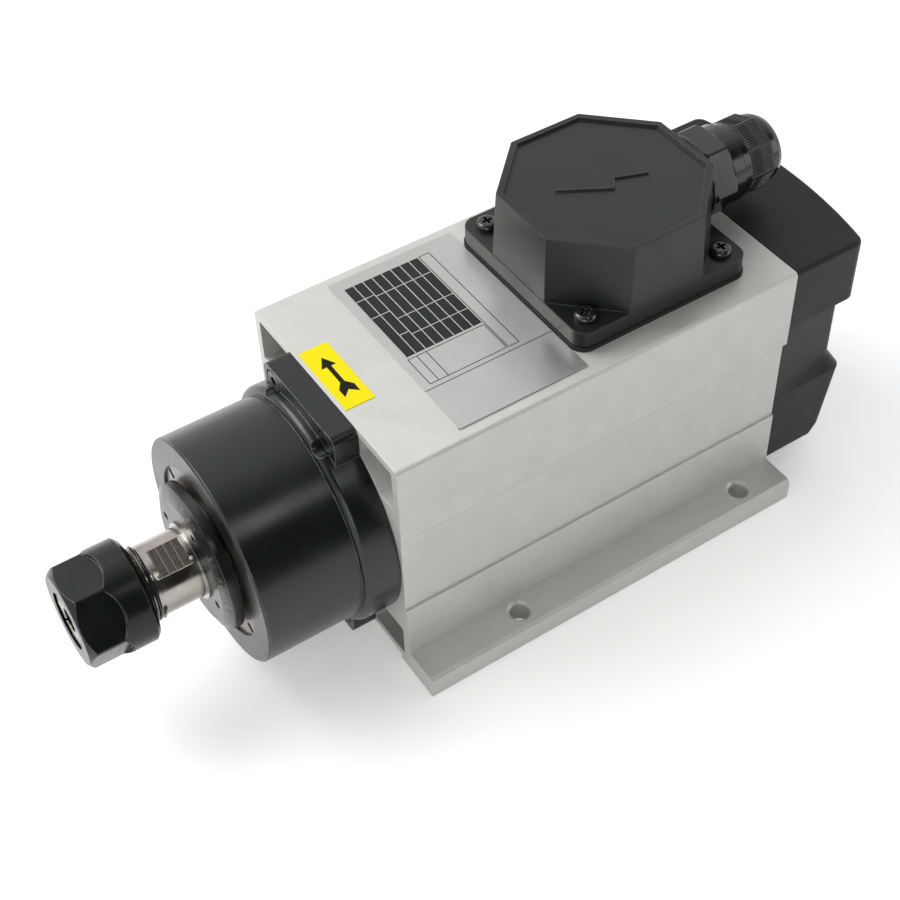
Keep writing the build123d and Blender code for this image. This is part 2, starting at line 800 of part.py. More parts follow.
# ---------------------------------------------------------------- rear bracket, spring and fan
def rear_bracket():
    """The rear bearing bracket: spigot, flange with screw lugs and cover ears, bearing bore."""
    flange = Circle(rear_flange_radius)
    flange += RectangleRounded(rear_lug_width, 2 * rear_lug_half_height, lug_corner_radius)
    flange += RectangleRounded(rear_ear_width, rear_ear_width, cover_post_radius)
    body = extruded(Pos(0, axis_height) * flange, rear_y, rear_flange_back_y)
    body += rod(bore_radius - spigot_clearance, rear_y - rear_spigot_length, rear_y)
    seat = rear_bearing_outside / 2
    web = bore_radius - spigot_wall
    body -= tube(web, seat + spigot_wall, rear_y - rear_spigot_length, rear_y - spigot_wall)
    body -= rod(seat, rear_y - rear_spigot_length, spring_back_y)
    body -= rod(rear_bearing_bore / 2 + shaft_hole_gap, spring_back_y, rear_flange_back_y)
    for x, z in corners(rear_screw_x, rear_screw_rise):
        body -= rod(rear_screw_radius + screw_hole_clearance, rear_y, rear_flange_back_y, x, z)
    for x, z in corners(cover_post_reach, cover_post_reach):
        body -= rod(cover_screw_radius, rear_y, rear_flange_back_y, x, z)
    return body


def rear_bracket_screws():
    """Four socket screws through the rear bracket's lugs."""
    size = (rear_screw_radius, rear_screw_head_radius, rear_screw_head_height, rear_screw_socket)
    grip = -(rear_flange_thickness + cap_screw_grip)
    places = corners(rear_screw_x, rear_screw_rise)
    return [cap_screw(x, z, rear_flange_back_y, *size, grip) for x, z in places]


def preload_springs():
    """Two disc springs, edge to edge, that load the outer ring of the rear bearing."""
    outer = rear_bearing_outside / 2 - spring_side_gap
    inner = outer - spring_ring_width
    middle_y = rear_y + spring_room / 2
    front = [
        (inner, rear_y), (outer, middle_y - spring_thickness),
        (outer, middle_y), (inner, rear_y + spring_thickness),
    ]
    back = [(radius, 2 * middle_y - y) for radius, y in front]
    return [turned(front), turned(back)]


def fan_blade():
    """One swept blade, from the hub to the rim, standing on the fan plate."""
    tip = fan_radius - fan_blade_thickness
    end_angle = radians(fan_blade_sweep)
    bend_angle = end_angle * fan_blade_bend
    bend = (fan_hub_radius + tip) / 2
    spine = ThreePointArc(
        (fan_hub_radius - fan_blade_root, 0),
        (bend * cos(bend_angle), bend * sin(bend_angle)),
        (tip * cos(end_angle), tip * sin(end_angle)),
    )
    plate_y = fan_front_y + fan_plate_thickness
    outline = make_face(offset(spine, fan_blade_thickness / 2, side=Side.BOTH))
    return extruded(outline, plate_y, plate_y + fan_blade_height)


def cooling_fan():
    """The external fan: hub, plate and swept blades on the side of the air intake."""
    fan = rod(fan_hub_radius, fan_front_y, fan_back_y)
    fan += rod(fan_radius, fan_front_y, fan_front_y + fan_plate_thickness)
    blade = fan_blade()
    fan += [at_angle(blade, angle) for angle in around(fan_blade_count)]
    return fan - rod(fan_seat_radius, fan_front_y, fan_back_y)


def fan_nut():
    """The nut that holds the fan against its shaft shoulder."""
    nut = hexagon(fan_nut_flats, fan_back_y, fan_back_y + fan_nut_length)
    return nut - rod(fan_seat_radius, fan_back_y, fan_back_y + fan_nut_length)


# ---------------------------------------------------------------- rear cover
def cover_plan(z, inset=0.0, waist=0.0):
    """The cover seen from above at height z: a bulged rear, and sides that taper in by the waist."""
    half = cover_width / 2 - inset
    back = cover_rear_y - inset - waist
    side_back = back - cover_bulge
    front = Polyline((half - waist, side_back), (half, rear_y), (-half, rear_y), (waist - half, side_back))
    bulge = ThreePointArc((waist - half, side_back), (0, back), (half - waist, side_back))
    plan = make_face(front + bulge)
    rear_corners = plan.vertices().group_by(Axis.Y)[-1]
    return Pos(0, 0, z) * fillet(rear_corners, max(cover_corner_radius - inset, 1))


def leaning(face, drop, lean):
    """Extrude a face downwards, moving forward by lean for each millimetre of drop."""
    return extrude(face, drop * sqrt(1 + lean**2), dir=(0, -lean, -1))


def cover_form(inset=0.0):
    """The cover's outside form in four storeys, or with an inset the hollow inside it."""
    slant = sqrt(cover_band_depth**2 + cover_band_slope**2)
    ledge_drop = inset * (slant - cover_band_slope) / cover_band_depth
    bottom = cover_bottom_height + inset
    ledge = cover_band_bottom - ledge_drop
    waist = ledge + cover_band_slope
    shoulder = cover_band_top + inset
    top = housing_top - cover_top_gap - inset
    toe = cover_bottom_height + cover_toe_height
    base = leaning(cover_plan(ledge, inset), ledge - toe, cover_lean)
    toe_plan = Pos(0, (toe - ledge) * cover_lean, 0) * cover_plan(toe, inset)
    foot = leaning(toe_plan, toe - bottom, cover_toe_lean)
    toe_edge = foot.edges().group_by(Axis.Z)[0].sort_by(Axis.Y)[-1:]
    foot = fillet(toe_edge, max(cover_toe_round - inset, cover_inner_round))
    slope = loft([cover_plan(ledge, inset), cover_plan(waist, inset, cover_band_depth)], ruled=True)
    band = extrude(cover_plan(waist, inset, cover_band_depth), shoulder - waist)
    crown = extrude(cover_plan(shoulder, inset), top - shoulder)
    rim = [edge for edge in crown.edges().group_by(Axis.Z)[-1] if edge.center().Y > rear_y + 1]
    crown = fillet(rim, max(cover_rim_radius - inset, cover_inner_round))
    return foot + base + slope + band + crown


def intake_grille():
    """The flat grille sunk in the cover's rear: rings of slots about the spindle axis, parted by spokes."""
    grille = rod(grille_radius + cover_wall / 2, grille_y, grille_y + cover_wall)
    radius = grille_hub_radius
    slots = []
    while radius + grille_slot_width < grille_radius:
        slots.append(tube(radius + grille_slot_width, radius, grille_y, grille_y + cover_wall))
        radius += grille_slot_width + grille_rib_width
    half = grille_spoke_width / 2
    spoke = cuboid(grille_hub_radius / 2, grille_radius, grille_y, grille_y + cover_wall, -half, half)
    spokes = [at_angle(spoke, angle) for angle in around(grille_spoke_count, 90)]
    return grille - slots + spokes


def rear_cover():
    """The moulded rear cover: bulged shell, waist band, intake grille and four screw posts."""
    outside = cover_form()
    outside -= cuboid(-foot_width, foot_width, front_y, rear_y + cover_seat_gap, -1, housing_top)
    outside -= cuboid(-foot_width, foot_width, front_y, cover_front_y, upper_step_height, housing_top)
    cover = outside - cover_form(cover_wall)
    cover += rod(grille_radius + cover_wall, grille_y, cover_rear_y) & outside
    cover -= rod(grille_radius, grille_y, cover_rear_y)
    cover += intake_grille()
    seat_y = cover_rear_y - cover_screw_depth
    places = corners(cover_post_reach, cover_post_reach)
    for x, z in places:
        cover += rod(cover_post_radius, rear_flange_back_y, cover_rear_y, x, z) & outside
    for x, z in places:
        cover -= rod(cover_screw_radius + screw_hole_clearance, rear_flange_back_y, seat_y, x, z)
        cover -= rod(cover_screw_head_radius + screw_hole_clearance, seat_y, cover_rear_y, x, z)
    return cover


def cover_screws():
    """Four long screws through the cover's posts into the rear bracket's ears."""
    seat_y = cover_rear_y - cover_screw_depth
    size = (cover_screw_radius, cover_screw_head_radius, cover_screw_head_height, rear_screw_socket)
    grip = rear_y + cover_screw_clearance - seat_y
    return [cap_screw(x, z, seat_y, *size, grip) for x, z in corners(cover_post_reach, cover_post_reach)]


# ---------------------------------------------------------------- terminal box
def octagon(z, inset=0.0):
    """The box's plan at height z: a drafted square with cut corners, drawn in by inset."""
    half = box_size / 2 - box_draft * (z - box_base_z) / box_height - inset
    edge = half - box_corner_cut + inset * tan(radians(22.5))
    return Pos(0, box_centre_y, z) * polygon([
        (edge, -half), (half, -edge), (half, edge), (edge, half),
        (-edge, half), (-half, edge), (-half, -edge), (-edge, -half),
    ])


def box_screw_places():
    """The (x, y) places of the terminal box screws."""
    return [(sx * box_screw_reach, box_centre_y + sy * box_screw_reach) for sx in (-1, 1) for sy in (-1, 1)]


def box_gasket():
    """The flat gasket between the housing and the terminal box lid."""
    size = box_size + 2 * gasket_lip
    outline = Pos(0, box_centre_y, housing_top) * RectangleRounded(size, size, box_corner_radius)
    gasket = extrude(outline, gasket_thickness)
    gasket -= extrude(octagon(box_base_z, box_wall), -gasket_thickness)
    for x, y in box_screw_places():
        hole = Cylinder(pan_screw_radius + screw_hole_clearance, gasket_thickness)
        gasket -= Pos(x, y, housing_top + gasket_thickness / 2) * hole
    return gasket


def terminal_box_lid():
    """The moulded lid: square flange, drafted octagonal dome, sunk panel, gland seat in its rear wall."""
    flange = Pos(0, box_centre_y, box_base_z) * RectangleRounded(box_size, box_size, box_corner_radius)
    lid = extrude(flange, box_flange_height) + loft([octagon(box_base_z), octagon(box_top_z)], ruled=True)
    panel_z = box_top_z - box_rim_depth
    ceiling_z = panel_z - box_wall
    lid -= extrude(octagon(panel_z, box_rim_width), box_rim_depth)
    lid -= loft([octagon(box_base_z, box_wall), octagon(ceiling_z, box_wall)], ruled=True)
    lid += rod(gland_pad_radius, lock_nut_y, box_rear_y, 0, gland_height)
    lid -= rod(gland_thread_radius + gland_hole_clearance, lock_nut_y, box_rear_y, 0, gland_height)
    for start, end in box_ribs:
        run = Vector(*end) - Vector(*start)
        rib = Box(run.length, box_rib_width, box_rib_height)
        turn = degrees(atan2(run.Y, run.X))
        middle = (Vector(*start) + Vector(*end)) / 2
        lid += Pos(middle.X, box_centre_y + middle.Y, panel_z + box_rib_height / 2) * Rot(Z=turn) * rib
    for x, y in box_screw_places():
        hole = Cylinder(pan_screw_radius + screw_hole_clearance, box_flange_height)
        lid -= Pos(x, y, box_base_z + box_flange_height / 2) * hole
        spot = Cylinder(pan_head_radius + screw_hole_clearance, box_height)
        lid -= Pos(x, y, box_flange_z + box_height / 2) * spot
    return lid


def box_screws():
    """Four pan-head screws through the lid's flange into the housing."""
    grip = box_flange_z - housing_top + housing_wall + box_screw_tip
    screw = pan_screw(pan_screw_radius, pan_head_radius, pan_head_height, grip)
    return [Pos(x, y, box_flange_z) * screw for x, y in box_screw_places()]


def stud_places():
    """The x places of the terminal studs."""
    return [(i - (stud_count - 1) / 2) * stud_pitch for i in range(stud_count)]


def terminal_block():
    """The insulating terminal block, with a barrier between neighbouring studs."""
    body = cuboid(-block_width / 2, block_width / 2, block_y - block_depth / 2, block_y + block_depth / 2,
                  housing_top, block_top_z)
    for x in stud_places()[1:]:
        middle = x - stud_pitch / 2
        half = barrier_thickness / 2
        body += cuboid(middle - half, middle + half, block_y - block_depth / 2, block_y + block_depth / 2,
                       block_top_z, block_top_z + barrier_height)
    for x in stud_places():
        body -= Pos(x, block_y, block_top_z) * Cylinder(stud_radius, block_height)
    return body


def terminal_studs():
    """The threaded studs that stand in the terminal block."""
    height = block_height / 2 + stud_height
    stud = chamfer(Cylinder(stud_radius, height).edges().group_by(Axis.Z)[-1], stud_radius / 5)
    return [Pos(x, block_y, block_top_z + stud_height - height / 2) * stud for x in stud_places()]


def terminal_nuts():
    """The nuts that clamp the lead tags on the studs."""
    nut_z = block_top_z + lead_tag_thickness
    section = RegularPolygon(terminal_nut_flats / 2, 6, major_radius=False) - Circle(stud_radius)
    return [extrude(Pos(x, block_y, nut_z) * section, terminal_nut_height) for x in stud_places()]


def motor_leads():
    """The three motor leads: up from the winding through the port, then over to ring tags on the studs."""
    leads = []
    start_z = axis_height + winding_radius
    run_z = block_top_z + lead_radius
    reach = terminal_nut_flats / 2 / cos(radians(30)) + lead_end_gap
    for i, stud_x in enumerate(stud_places()):
        stud = Vector(stud_x, block_y, run_z)
        bend = Vector((i - (stud_count - 1) / 2) * lead_spacing, port_y, run_z)
        end = stud + (bend - stud).normalized() * reach
        path = FilletPolyline((bend.X, bend.Y, start_z), bend, end, radius=lead_bend_radius)
        lead = sweep(Plane(origin=path @ 0, z_dir=path % 0) * Circle(lead_radius), path=path)
        tag = Circle(lead_tag_radius) - Circle(stud_radius)
        leads.append(lead + extrude(Pos(stud_x, block_y, block_top_z) * tag, lead_tag_thickness))
    return leads


def earth_screw():
    """The earthing screw in the housing top, inside the box."""
    grip = housing_wall
    screw = pan_screw(pan_screw_radius, pan_head_radius, pan_head_height, grip)
    return Pos(earth_screw_x, box_centre_y + earth_screw_shift, housing_top) * screw


# ---------------------------------------------------------------- cable gland
def gland_washer():
    """The sealing washer between the box and the gland."""
    return tube(gland_washer_radius, gland_thread_radius, box_rear_y, gland_hex_y, 0, gland_height)


def gland_body():
    """The gland's body: thread through the box wall, hexagon, collar and the throat under the dome nut."""
    body = hexagon(gland_hex_flats, gland_hex_y, gland_collar_y, 0, gland_height, turn=gland_hex_angle)
    bevel = gland_hex_flats / 2 / cos(radians(30)) - gland_hex_corner_cut
    barrel = rod(bevel, gland_hex_y, gland_collar_y, 0, gland_height)
    body &= chamfer(barrel.edges(), gland_hex_bevel)
    body += rod(gland_thread_radius, lock_nut_y - gland_lock_nut_length, gland_hex_y, 0, gland_height)
    body += rod(gland_collar_radius, gland_collar_y, gland_collar_end_y, 0, gland_height)
    body += rod(gland_thread_radius, gland_collar_end_y, gland_throat_y, 0, gland_height)
    body -= rod(gland_seal_radius, gland_throat_y - gland_seal_length, gland_throat_y, 0, gland_height)
    through_y = lock_nut_y - gland_lock_nut_length
    return body - rod(gland_cable_radius, through_y, gland_throat_y, 0, gland_height)


def gland_lock_nut():
    """The lock nut inside the box."""
    nut_y = lock_nut_y - gland_lock_nut_length
    nut = hexagon(gland_lock_nut_flats, nut_y, lock_nut_y, 0, gland_height, turn=90)
    return nut - rod(gland_thread_radius, nut_y, lock_nut_y, 0, gland_height)


def gland_seal():
    """The rubber seal that the dome nut squeezes round the cable, with a nose in the nut's mouth."""
    back_y = gland_throat_y - gland_seal_length + gland_seal_clearance
    head_y = gland_throat_y + gland_seal_head
    nose = gland_nut_mouth_radius - gland_seal_clearance
    seal = tube(gland_seal_radius - gland_seal_clearance, gland_cable_radius, back_y, head_y, 0, gland_height)
    return seal + tube(nose, gland_cable_radius, head_y, head_y + gland_seal_nose, 0, gland_height)


def gland_nut():
    """The dome nut: grip ring, eight flats, bevelled nose and the throat thread inside."""
    nut = rod(gland_nut_radius, gland_nut_y, gland_facet_y, 0, gland_height)
    facets = RegularPolygon(gland_nut_flats / 2, gland_nut_facets, major_radius=False)
    nut += extruded(Pos(0, gland_height) * facets, gland_facet_y, gland_end_y)
    nose = [
        (0, gland_end_y), (gland_nut_end_radius, gland_end_y),
        (gland_nut_end_radius, gland_tip_y - gland_nut_bevel), (gland_nut_tip_radius, gland_tip_y),
        (0, gland_tip_y),
    ]
    nut += turned(nose, gland_height)
    thread = gland_thread_radius + gland_throat_clearance
    chamber_y = gland_throat_y + gland_throat_gap
    seal_y = gland_throat_y + gland_seal_head
    hollow = [
        (0, gland_nut_y), (thread, gland_nut_y), (thread, chamber_y), (gland_seal_radius, chamber_y),
        (gland_seal_radius, seal_y), (gland_nut_mouth_radius, seal_y),
        (gland_nut_mouth_radius, gland_tip_y),
        (0, gland_tip_y),
    ]
    return nut - turned(hollow, gland_height)


# ---------------------------------------------------------------- plates
def nameplate():
    """The rating plate on the housing top."""
    plate = RectangleRounded(plate_width, plate_length, plate_corner_radius)
    centre_y = front_y + plate_setback + plate_length / 2
    return extrude(Pos(0, centre_y, housing_top) * plate, plate_thickness)


def rotation_label():
    """The label that shows the direction of rotation, at the front edge of the housing top."""
    label = Rectangle(label_width, label_length)
    centre_y = front_y + label_setback + label_length / 2
    return extrude(Pos(label_shift_x, centre_y, housing_top) * label, label_thickness)


# ---------------------------------------------------------------- every piece, by its name
PIECES = {
    "housing_profile": housing_profile,
    "front_bracket": front_bracket,
    "front_bracket_screws": front_bracket_screws,
    "bearing_retaining_ring": bearing_retaining_ring,
    "dust_cap": dust_cap,
    "front_outer_races": front_outer_races,
    "front_outer_spacer": front_outer_spacer,
    "front_inner_races": front_inner_races,
    "front_inner_spacer": front_inner_spacer,
    "front_cages": front_cages,
    "front_balls": front_balls,
    "spindle_shaft": spindle_shaft,
    "collet": collet,
    "collet_nut": collet_nut,
    "stator_core": stator_core,
    "stator_winding": stator_winding,
    "rotor_core": rotor_core,
    "rotor_end_rings": rotor_end_rings,
    "rear_bracket": rear_bracket,
    "rear_bracket_screws": rear_bracket_screws,
    "rear_outer_race": lambda: outer_race(REAR_BEARING, rear_bearing_y, rear_bearing_width),
    "rear_inner_race": lambda: inner_race(REAR_BEARING, rear_bearing_y, rear_bearing_width),
    "rear_cage": lambda: ball_cage(REAR_BEARING, rear_ball_count, rear_bearing_y, rear_bearing_width),
    "rear_balls": lambda: ball_set(REAR_BEARING, rear_ball_count, rear_bearing_y, rear_bearing_width),
    "preload_springs": preload_springs,
    "cooling_fan": cooling_fan,
    "fan_nut": fan_nut,
    "rear_cover": rear_cover,
    "cover_screws": cover_screws,
    "box_gasket": box_gasket,
    "terminal_box_lid": terminal_box_lid,
    "box_screws": box_screws,
    "terminal_block": terminal_block,
    "terminal_studs": terminal_studs,
    "terminal_nuts": terminal_nuts,
    "motor_leads": motor_leads,
    "earth_screw": earth_screw,
    "gland_washer": gland_washer,
    "gland_body": gland_body,
    "gland_lock_nut": gland_lock_nut,
    "gland_seal": gland_seal,
    "gland_nut": gland_nut,
    "nameplate": nameplate,
    "rotation_label": rotation_label,
}

os.makedirs("parts", exist_ok=True)
for name, make in PIECES.items():
    made = make()
    shape = Compound(children=made) if isinstance(made, list) else made
    export_step(shape, f"parts/{name}.step")
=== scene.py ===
"""Dresses a square motor spindle: finishes, machined detail, printed plates and a plain studio.

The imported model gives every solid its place. Each class below takes the solids of one sub-assembly,
smooths and rounds them, adds the detail that plain solids leave out, and puts a finish on every piece.
Sizes in the classes are millimetres; meshes are made in metres.
"""
from __future__ import annotations

import json
import logging
import math
from collections.abc import Callable, Sequence
from dataclasses import dataclass
from enum import Enum
from typing import Any

import bmesh
import bpy
from mathutils import Matrix, Vector

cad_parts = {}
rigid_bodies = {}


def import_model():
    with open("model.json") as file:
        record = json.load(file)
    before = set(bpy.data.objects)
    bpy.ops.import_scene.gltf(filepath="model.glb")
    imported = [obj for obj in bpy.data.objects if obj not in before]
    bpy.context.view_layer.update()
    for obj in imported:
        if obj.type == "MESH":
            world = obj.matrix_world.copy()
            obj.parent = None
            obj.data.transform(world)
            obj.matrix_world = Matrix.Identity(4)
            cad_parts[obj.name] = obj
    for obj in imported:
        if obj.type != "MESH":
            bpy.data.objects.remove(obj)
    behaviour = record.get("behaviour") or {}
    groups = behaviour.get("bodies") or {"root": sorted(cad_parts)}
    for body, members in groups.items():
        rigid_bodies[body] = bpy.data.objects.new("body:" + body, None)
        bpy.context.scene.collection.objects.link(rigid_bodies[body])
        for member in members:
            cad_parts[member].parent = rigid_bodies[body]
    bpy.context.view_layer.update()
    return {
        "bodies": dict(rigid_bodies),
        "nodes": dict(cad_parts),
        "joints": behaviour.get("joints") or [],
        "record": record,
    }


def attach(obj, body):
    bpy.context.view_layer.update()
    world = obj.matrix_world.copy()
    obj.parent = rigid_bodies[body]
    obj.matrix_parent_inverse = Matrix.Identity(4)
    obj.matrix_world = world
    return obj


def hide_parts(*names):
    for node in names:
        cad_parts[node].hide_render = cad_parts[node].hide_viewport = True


log = logging.getLogger("spindle")

MM = 0.001
AXIS_Z = 48.0
GLAND_AXIS_Z = 110.2
MERGE_DISTANCE = 0.004
SLIVER = 0.001
COPLANAR_ANGLE = 0.4
SLAB_SMOOTH = 20.0
WHITE = (1.0, 1.0, 1.0, 1.0)

Triple = tuple[float, float, float]
Box = tuple[float, float, float, float]
Socket = bpy.types.NodeSocket
NodeTree = bpy.types.NodeTree
Piece = bpy.types.Object


class Slot(str, Enum):
    """The material slots of the part's record."""

    HOUSING = "anodised_housing"
    BLACK_ANODISED = "black_anodised"
    BLACK_STEEL = "black_steel"
    GROUND_STEEL = "ground_steel"
    BEARING_STEEL = "bearing_steel"
    CAGE_BRASS = "cage_brass"
    BLACK_NUT = "black_nut"
    CORE_STEEL = "core_steel"
    WINDING = "winding_copper"
    CAST_ALUMINIUM = "cast_aluminium"
    ZINC_STEEL = "zinc_steel"
    BLACK_PLASTIC = "black_plastic"
    RUBBER = "gasket_rubber"
    BLOCK_PLASTIC = "block_plastic"
    BRASS = "terminal_brass"
    LEAD = "lead_insulation"
    GLAND = "gland_plastic"
    PLATE = "plate_aluminium"
    LABEL = "label_yellow"


class Body(str, Enum):
    """The bodies that pieces ride on."""

    MOTOR = "motor_body"
    SPINDLE = "spindle"
    FRONT_CAGES = "front_cage_set"
    REAR_CAGE = "rear_cage_set"
    COLLET = "collet_carriage"
    NUT = "clamping_nut"
    SEAL = "seal_carriage"
    DOME_NUT = "dome_nut"


class Lay(Enum):
    """The direction of fine tool marks on a surface, as a stretch of the coordinates."""

    TURNED = (1.0, 1.0, 0.0)
    DRAWN = (1.0, 0.012, 1.0)
    ACROSS = (0.02, 1.0, 1.0)


# ---------------------------------------------------------------- node trees
class Tree:
    """A node tree with short calls that add and join nodes."""

    def __init__(self, tree: NodeTree) -> None:
        """Keep the tree that the calls add to."""
        self.tree = tree

    def socket(self, name: str, kind: str, default: Any = None, output: bool = False) -> None:
        """Add one named socket to a group's interface.

        Args:
            name: The socket's name.
            kind: The socket's type, without its NodeSocket prefix.
            default: The value that an input starts with.
            output: True for an output.
        """
        made = self.tree.interface.new_socket(
            name=name, in_out="OUTPUT" if output else "INPUT", socket_type="NodeSocket" + kind
        )
        if default is not None:
            made.default_value = default

    def add(self, kind: str, settings: dict[str, Any] | None = None, **inputs: Any) -> bpy.types.Node:
        """Add a node.

        Args:
            kind: The node's type name.
            settings: Properties of the node itself.
            **inputs: Values or sockets for its inputs, with _ for a space in a name.

        Returns:
            The new node.
        """
        node = self.tree.nodes.new(kind)
        for name, value in (settings or {}).items():
            setattr(node, name, value)
        self.fill(node, {name.replace("_", " "): value for name, value in inputs.items()})
        return node

    def feed(self, socket: Socket, value: Any) -> None:
        """Join a socket to another one, or set its plain value.

        Args:
            socket: The input that is fed.
            value: A socket, or a plain value.
        """
        if isinstance(value, Socket):
            self.tree.links.new(value, socket)
        else:
            socket.default_value = value

    def fill(self, node: bpy.types.Node, values: dict[str, Any]) -> None:
        """Feed a node's inputs by their names."""
        for name, value in values.items():
            self.feed(node.inputs[name], value)

    def row(self, node: bpy.types.Node, values: Sequence[Any]) -> Socket:
        """Feed a node's inputs in their order.

        Args:
            node: The node.
            values: The values or sockets.

        Returns:
            The node's first output.
        """
        for socket, value in zip(node.inputs, values):
            self.feed(socket, value)
        return node.outputs[0]

    def math(self, operation: str, *values: Any) -> Socket:
        """Add a math node fed in order, and return its output."""
        return self.row(self.add("ShaderNodeMath", {"operation": operation}), values)

    def vector(self, operation: str, *values: Any) -> bpy.types.Node:
        """Add a vector math node fed in order.

        Args:
            operation: What it works out.
            *values: Its values or sockets.

        Returns:
            The node.
        """
        node = self.add("ShaderNodeVectorMath", {"operation": operation})
        self.row(node, values)
        return node

    def ramp(self, value: Any, low: float, high: float, start: float = 0.0, end: float = 1.0) -> Socket:
        """Map a value from low..high to start..end, held at both ends."""
        return self.row(self.add("ShaderNodeMapRange", {"clamp": True}), (value, low, high, start, end))

    def mix(self, factor: Any, first: Any, second: Any) -> Socket:
        """Mix two colours by a factor.

        Args:
            factor: The share of the second colour.
            first: The colour at 0.
            second: The colour at 1.

        Returns:
            The mixed colour.
        """
        node = self.add("ShaderNodeMix", {"data_type": "RGBA"})
        for index, value in ((0, factor), (6, first), (7, second)):
            self.feed(node.inputs[index], value)
        return node.outputs[2]

    def noise(self, place: Socket, scale: Any, **settings: float) -> Socket:
        """Add a noise texture, and return its value."""
        return self.add("ShaderNodeTexNoise", Vector=place, Scale=scale, **settings).outputs[0]

    def join(self, **parts: Any) -> Socket:
        """Join X, Y and Z values into a vector."""
        return self.add("ShaderNodeCombineXYZ", **parts).outputs[0]

    def group(self, tree: NodeTree, **inputs: Any) -> bpy.types.Node:
        """Place a shader group with its own input values."""
        return self.add("ShaderNodeGroup", {"node_tree": tree}, **inputs)

    def laid_along_y(self, geometry: Socket, station: Any, axis_height: Any) -> Socket:
        """Turn a shape made about Z to lie about an axis along Y.

        Args:
            geometry: The shape.
            station: Its place along Y.
            axis_height: The height of the axis.

        Returns:
            The turned shape.
        """
        return self.add(
            "GeometryNodeTransform", Geometry=geometry, Translation=self.join(Y=station, Z=axis_height),
            Rotation=(math.pi / 2, 0.0, 0.0),
        ).outputs[0]


Inputs = Sequence[tuple[str, str, Any]]
Nodes = Callable[[Tree, Any], Any]
Maker = Callable[[], NodeTree]


def node_group(name: str, inputs: Inputs, outputs: dict[str, str],
               kind: str = "ShaderNodeTree") -> Callable[[Nodes], Maker]:
    """Make a node group of a function that adds nodes, built the first time that it is asked for.

    Args:
        name: The group's name.
        inputs: The name, kind and default of each input.
        outputs: The kind of each output by its name.
        kind: The type of the tree.

    Returns:
        A decorator for a function that takes the tree and its inputs, and returns the outputs by name.
    """

    def decorate(build: Nodes) -> Maker:
        """Turn the function into one that gives the group.

        Args:
            build: The function that adds the nodes.

        Returns:
            The function that gives the group.
        """

        def group() -> NodeTree:
            """Return the group, shared by all who ask for it."""
            found = bpy.data.node_groups.get(name)
            if found is None:
                found = bpy.data.node_groups.new(name, kind)
                tree = Tree(found)
                for title, socket, default in inputs:
                    tree.socket(title, socket, default)
                for title, socket in outputs.items():
                    tree.socket(title, socket, output=True)
                given = tree.add("NodeGroupInput").outputs
                tree.fill(tree.add("NodeGroupOutput"), build(tree, given))
            return found

        return group

    return decorate


def geometry_tree(name: str, inputs: Inputs) -> Callable[[Nodes], Maker]:
    """Make a geometry tree of a function that adds nodes; it ends in Realize Instances and Set Material.

    Args:
        name: The tree's name.
        inputs: The name, kind and default of each input, with lengths in metres.

    Returns:
        A decorator for a function that takes the tree and its inputs, and returns the geometry.
    """

    def decorate(build: Nodes) -> Maker:
        """Turn the function into one that gives the tree.

        Args:
            build: The function that adds the nodes.

        Returns:
            The function that gives the tree.
        """

        def nodes(tree: Tree, given: Any) -> dict[str, Socket]:
            """Add the function's nodes and the two that end the tree."""
            real = tree.add("GeometryNodeRealizeInstances", Geometry=build(tree, given)).outputs[0]
            finished = tree.add("GeometryNodeSetMaterial", Geometry=real, Material=given["Material"])
            return {"Geometry": finished.outputs[0]}

        sockets = (("Geometry", "Geometry", None), *inputs, ("Material", "Material", None))
        return node_group(name, sockets, {"Geometry": "Geometry"}, "GeometryNodeTree")(nodes)

    return decorate


@node_group(
    "edge wear", (("Vector", "Vector", None), ("Radius", "Float", 0.0004), ("Breakup", "Float", 300.0)),
    {"Normal": "Vector", "Mask": "Float"},
)
def edge_wear(tree: Tree, given: Any) -> dict[str, Socket]:
    """A rounded normal at the edges, and a broken mask of where they are rubbed.

    Args:
        tree: The group's tree.
        given: The group's inputs, by name.

    Returns:
        The group's outputs, by name.
    """
    rounded = tree.add("ShaderNodeBevel", {"samples": 4}, Radius=given["Radius"]).outputs[0]
    flat = tree.add("ShaderNodeNewGeometry").outputs["Normal"]
    bend = tree.math("SUBTRACT", 1.0, tree.vector("DOT_PRODUCT", rounded, flat).outputs["Value"])
    broken = tree.ramp(tree.noise(given["Vector"], given["Breakup"], Detail=3.0), 0.36, 0.62, 0.25, 1.0)
    return {"Normal": rounded, "Mask": tree.math("MULTIPLY", tree.ramp(bend, 0.01, 0.16), broken)}


@node_group(
    "grain", (("Vector", "Vector", None), ("Scale", "Float", 2000.0)), {"Height": "Float", "Tone": "Float"}
)
def grain(tree: Tree, given: Any) -> dict[str, Socket]:
    """The fine relief of a surface, and the slow change of its tone.

    Args:
        tree: The group's tree.
        given: The group's inputs, by name.

    Returns:
        The group's outputs, by name.
    """
    fine = tree.noise(given["Vector"], given["Scale"], Detail=2.0, Roughness=0.6)
    slow_scale = tree.math("MULTIPLY", given["Scale"], 0.03)
    slow = tree.noise(given["Vector"], slow_scale, Detail=4.0, Roughness=0.65)
    return {"Height": fine, "Tone": tree.ramp(slow, 0.35, 0.7)}


@node_group("smudges", (("Vector", "Vector", None), ("Scale", "Float", 40.0)), {"Mask": "Float"})
def smudges(tree: Tree, given: Any) -> dict[str, Socket]:
    """Soft patches where a surface has been handled.

    Args:
        tree: The group's tree.
        given: The group's inputs, by name.

    Returns:
        The group's outputs, by name.
    """
    noise = tree.noise(given["Vector"], given["Scale"], Detail=5.0, Roughness=0.6, Distortion=0.8)
    return {"Mask": tree.ramp(noise, 0.32, 0.68)}


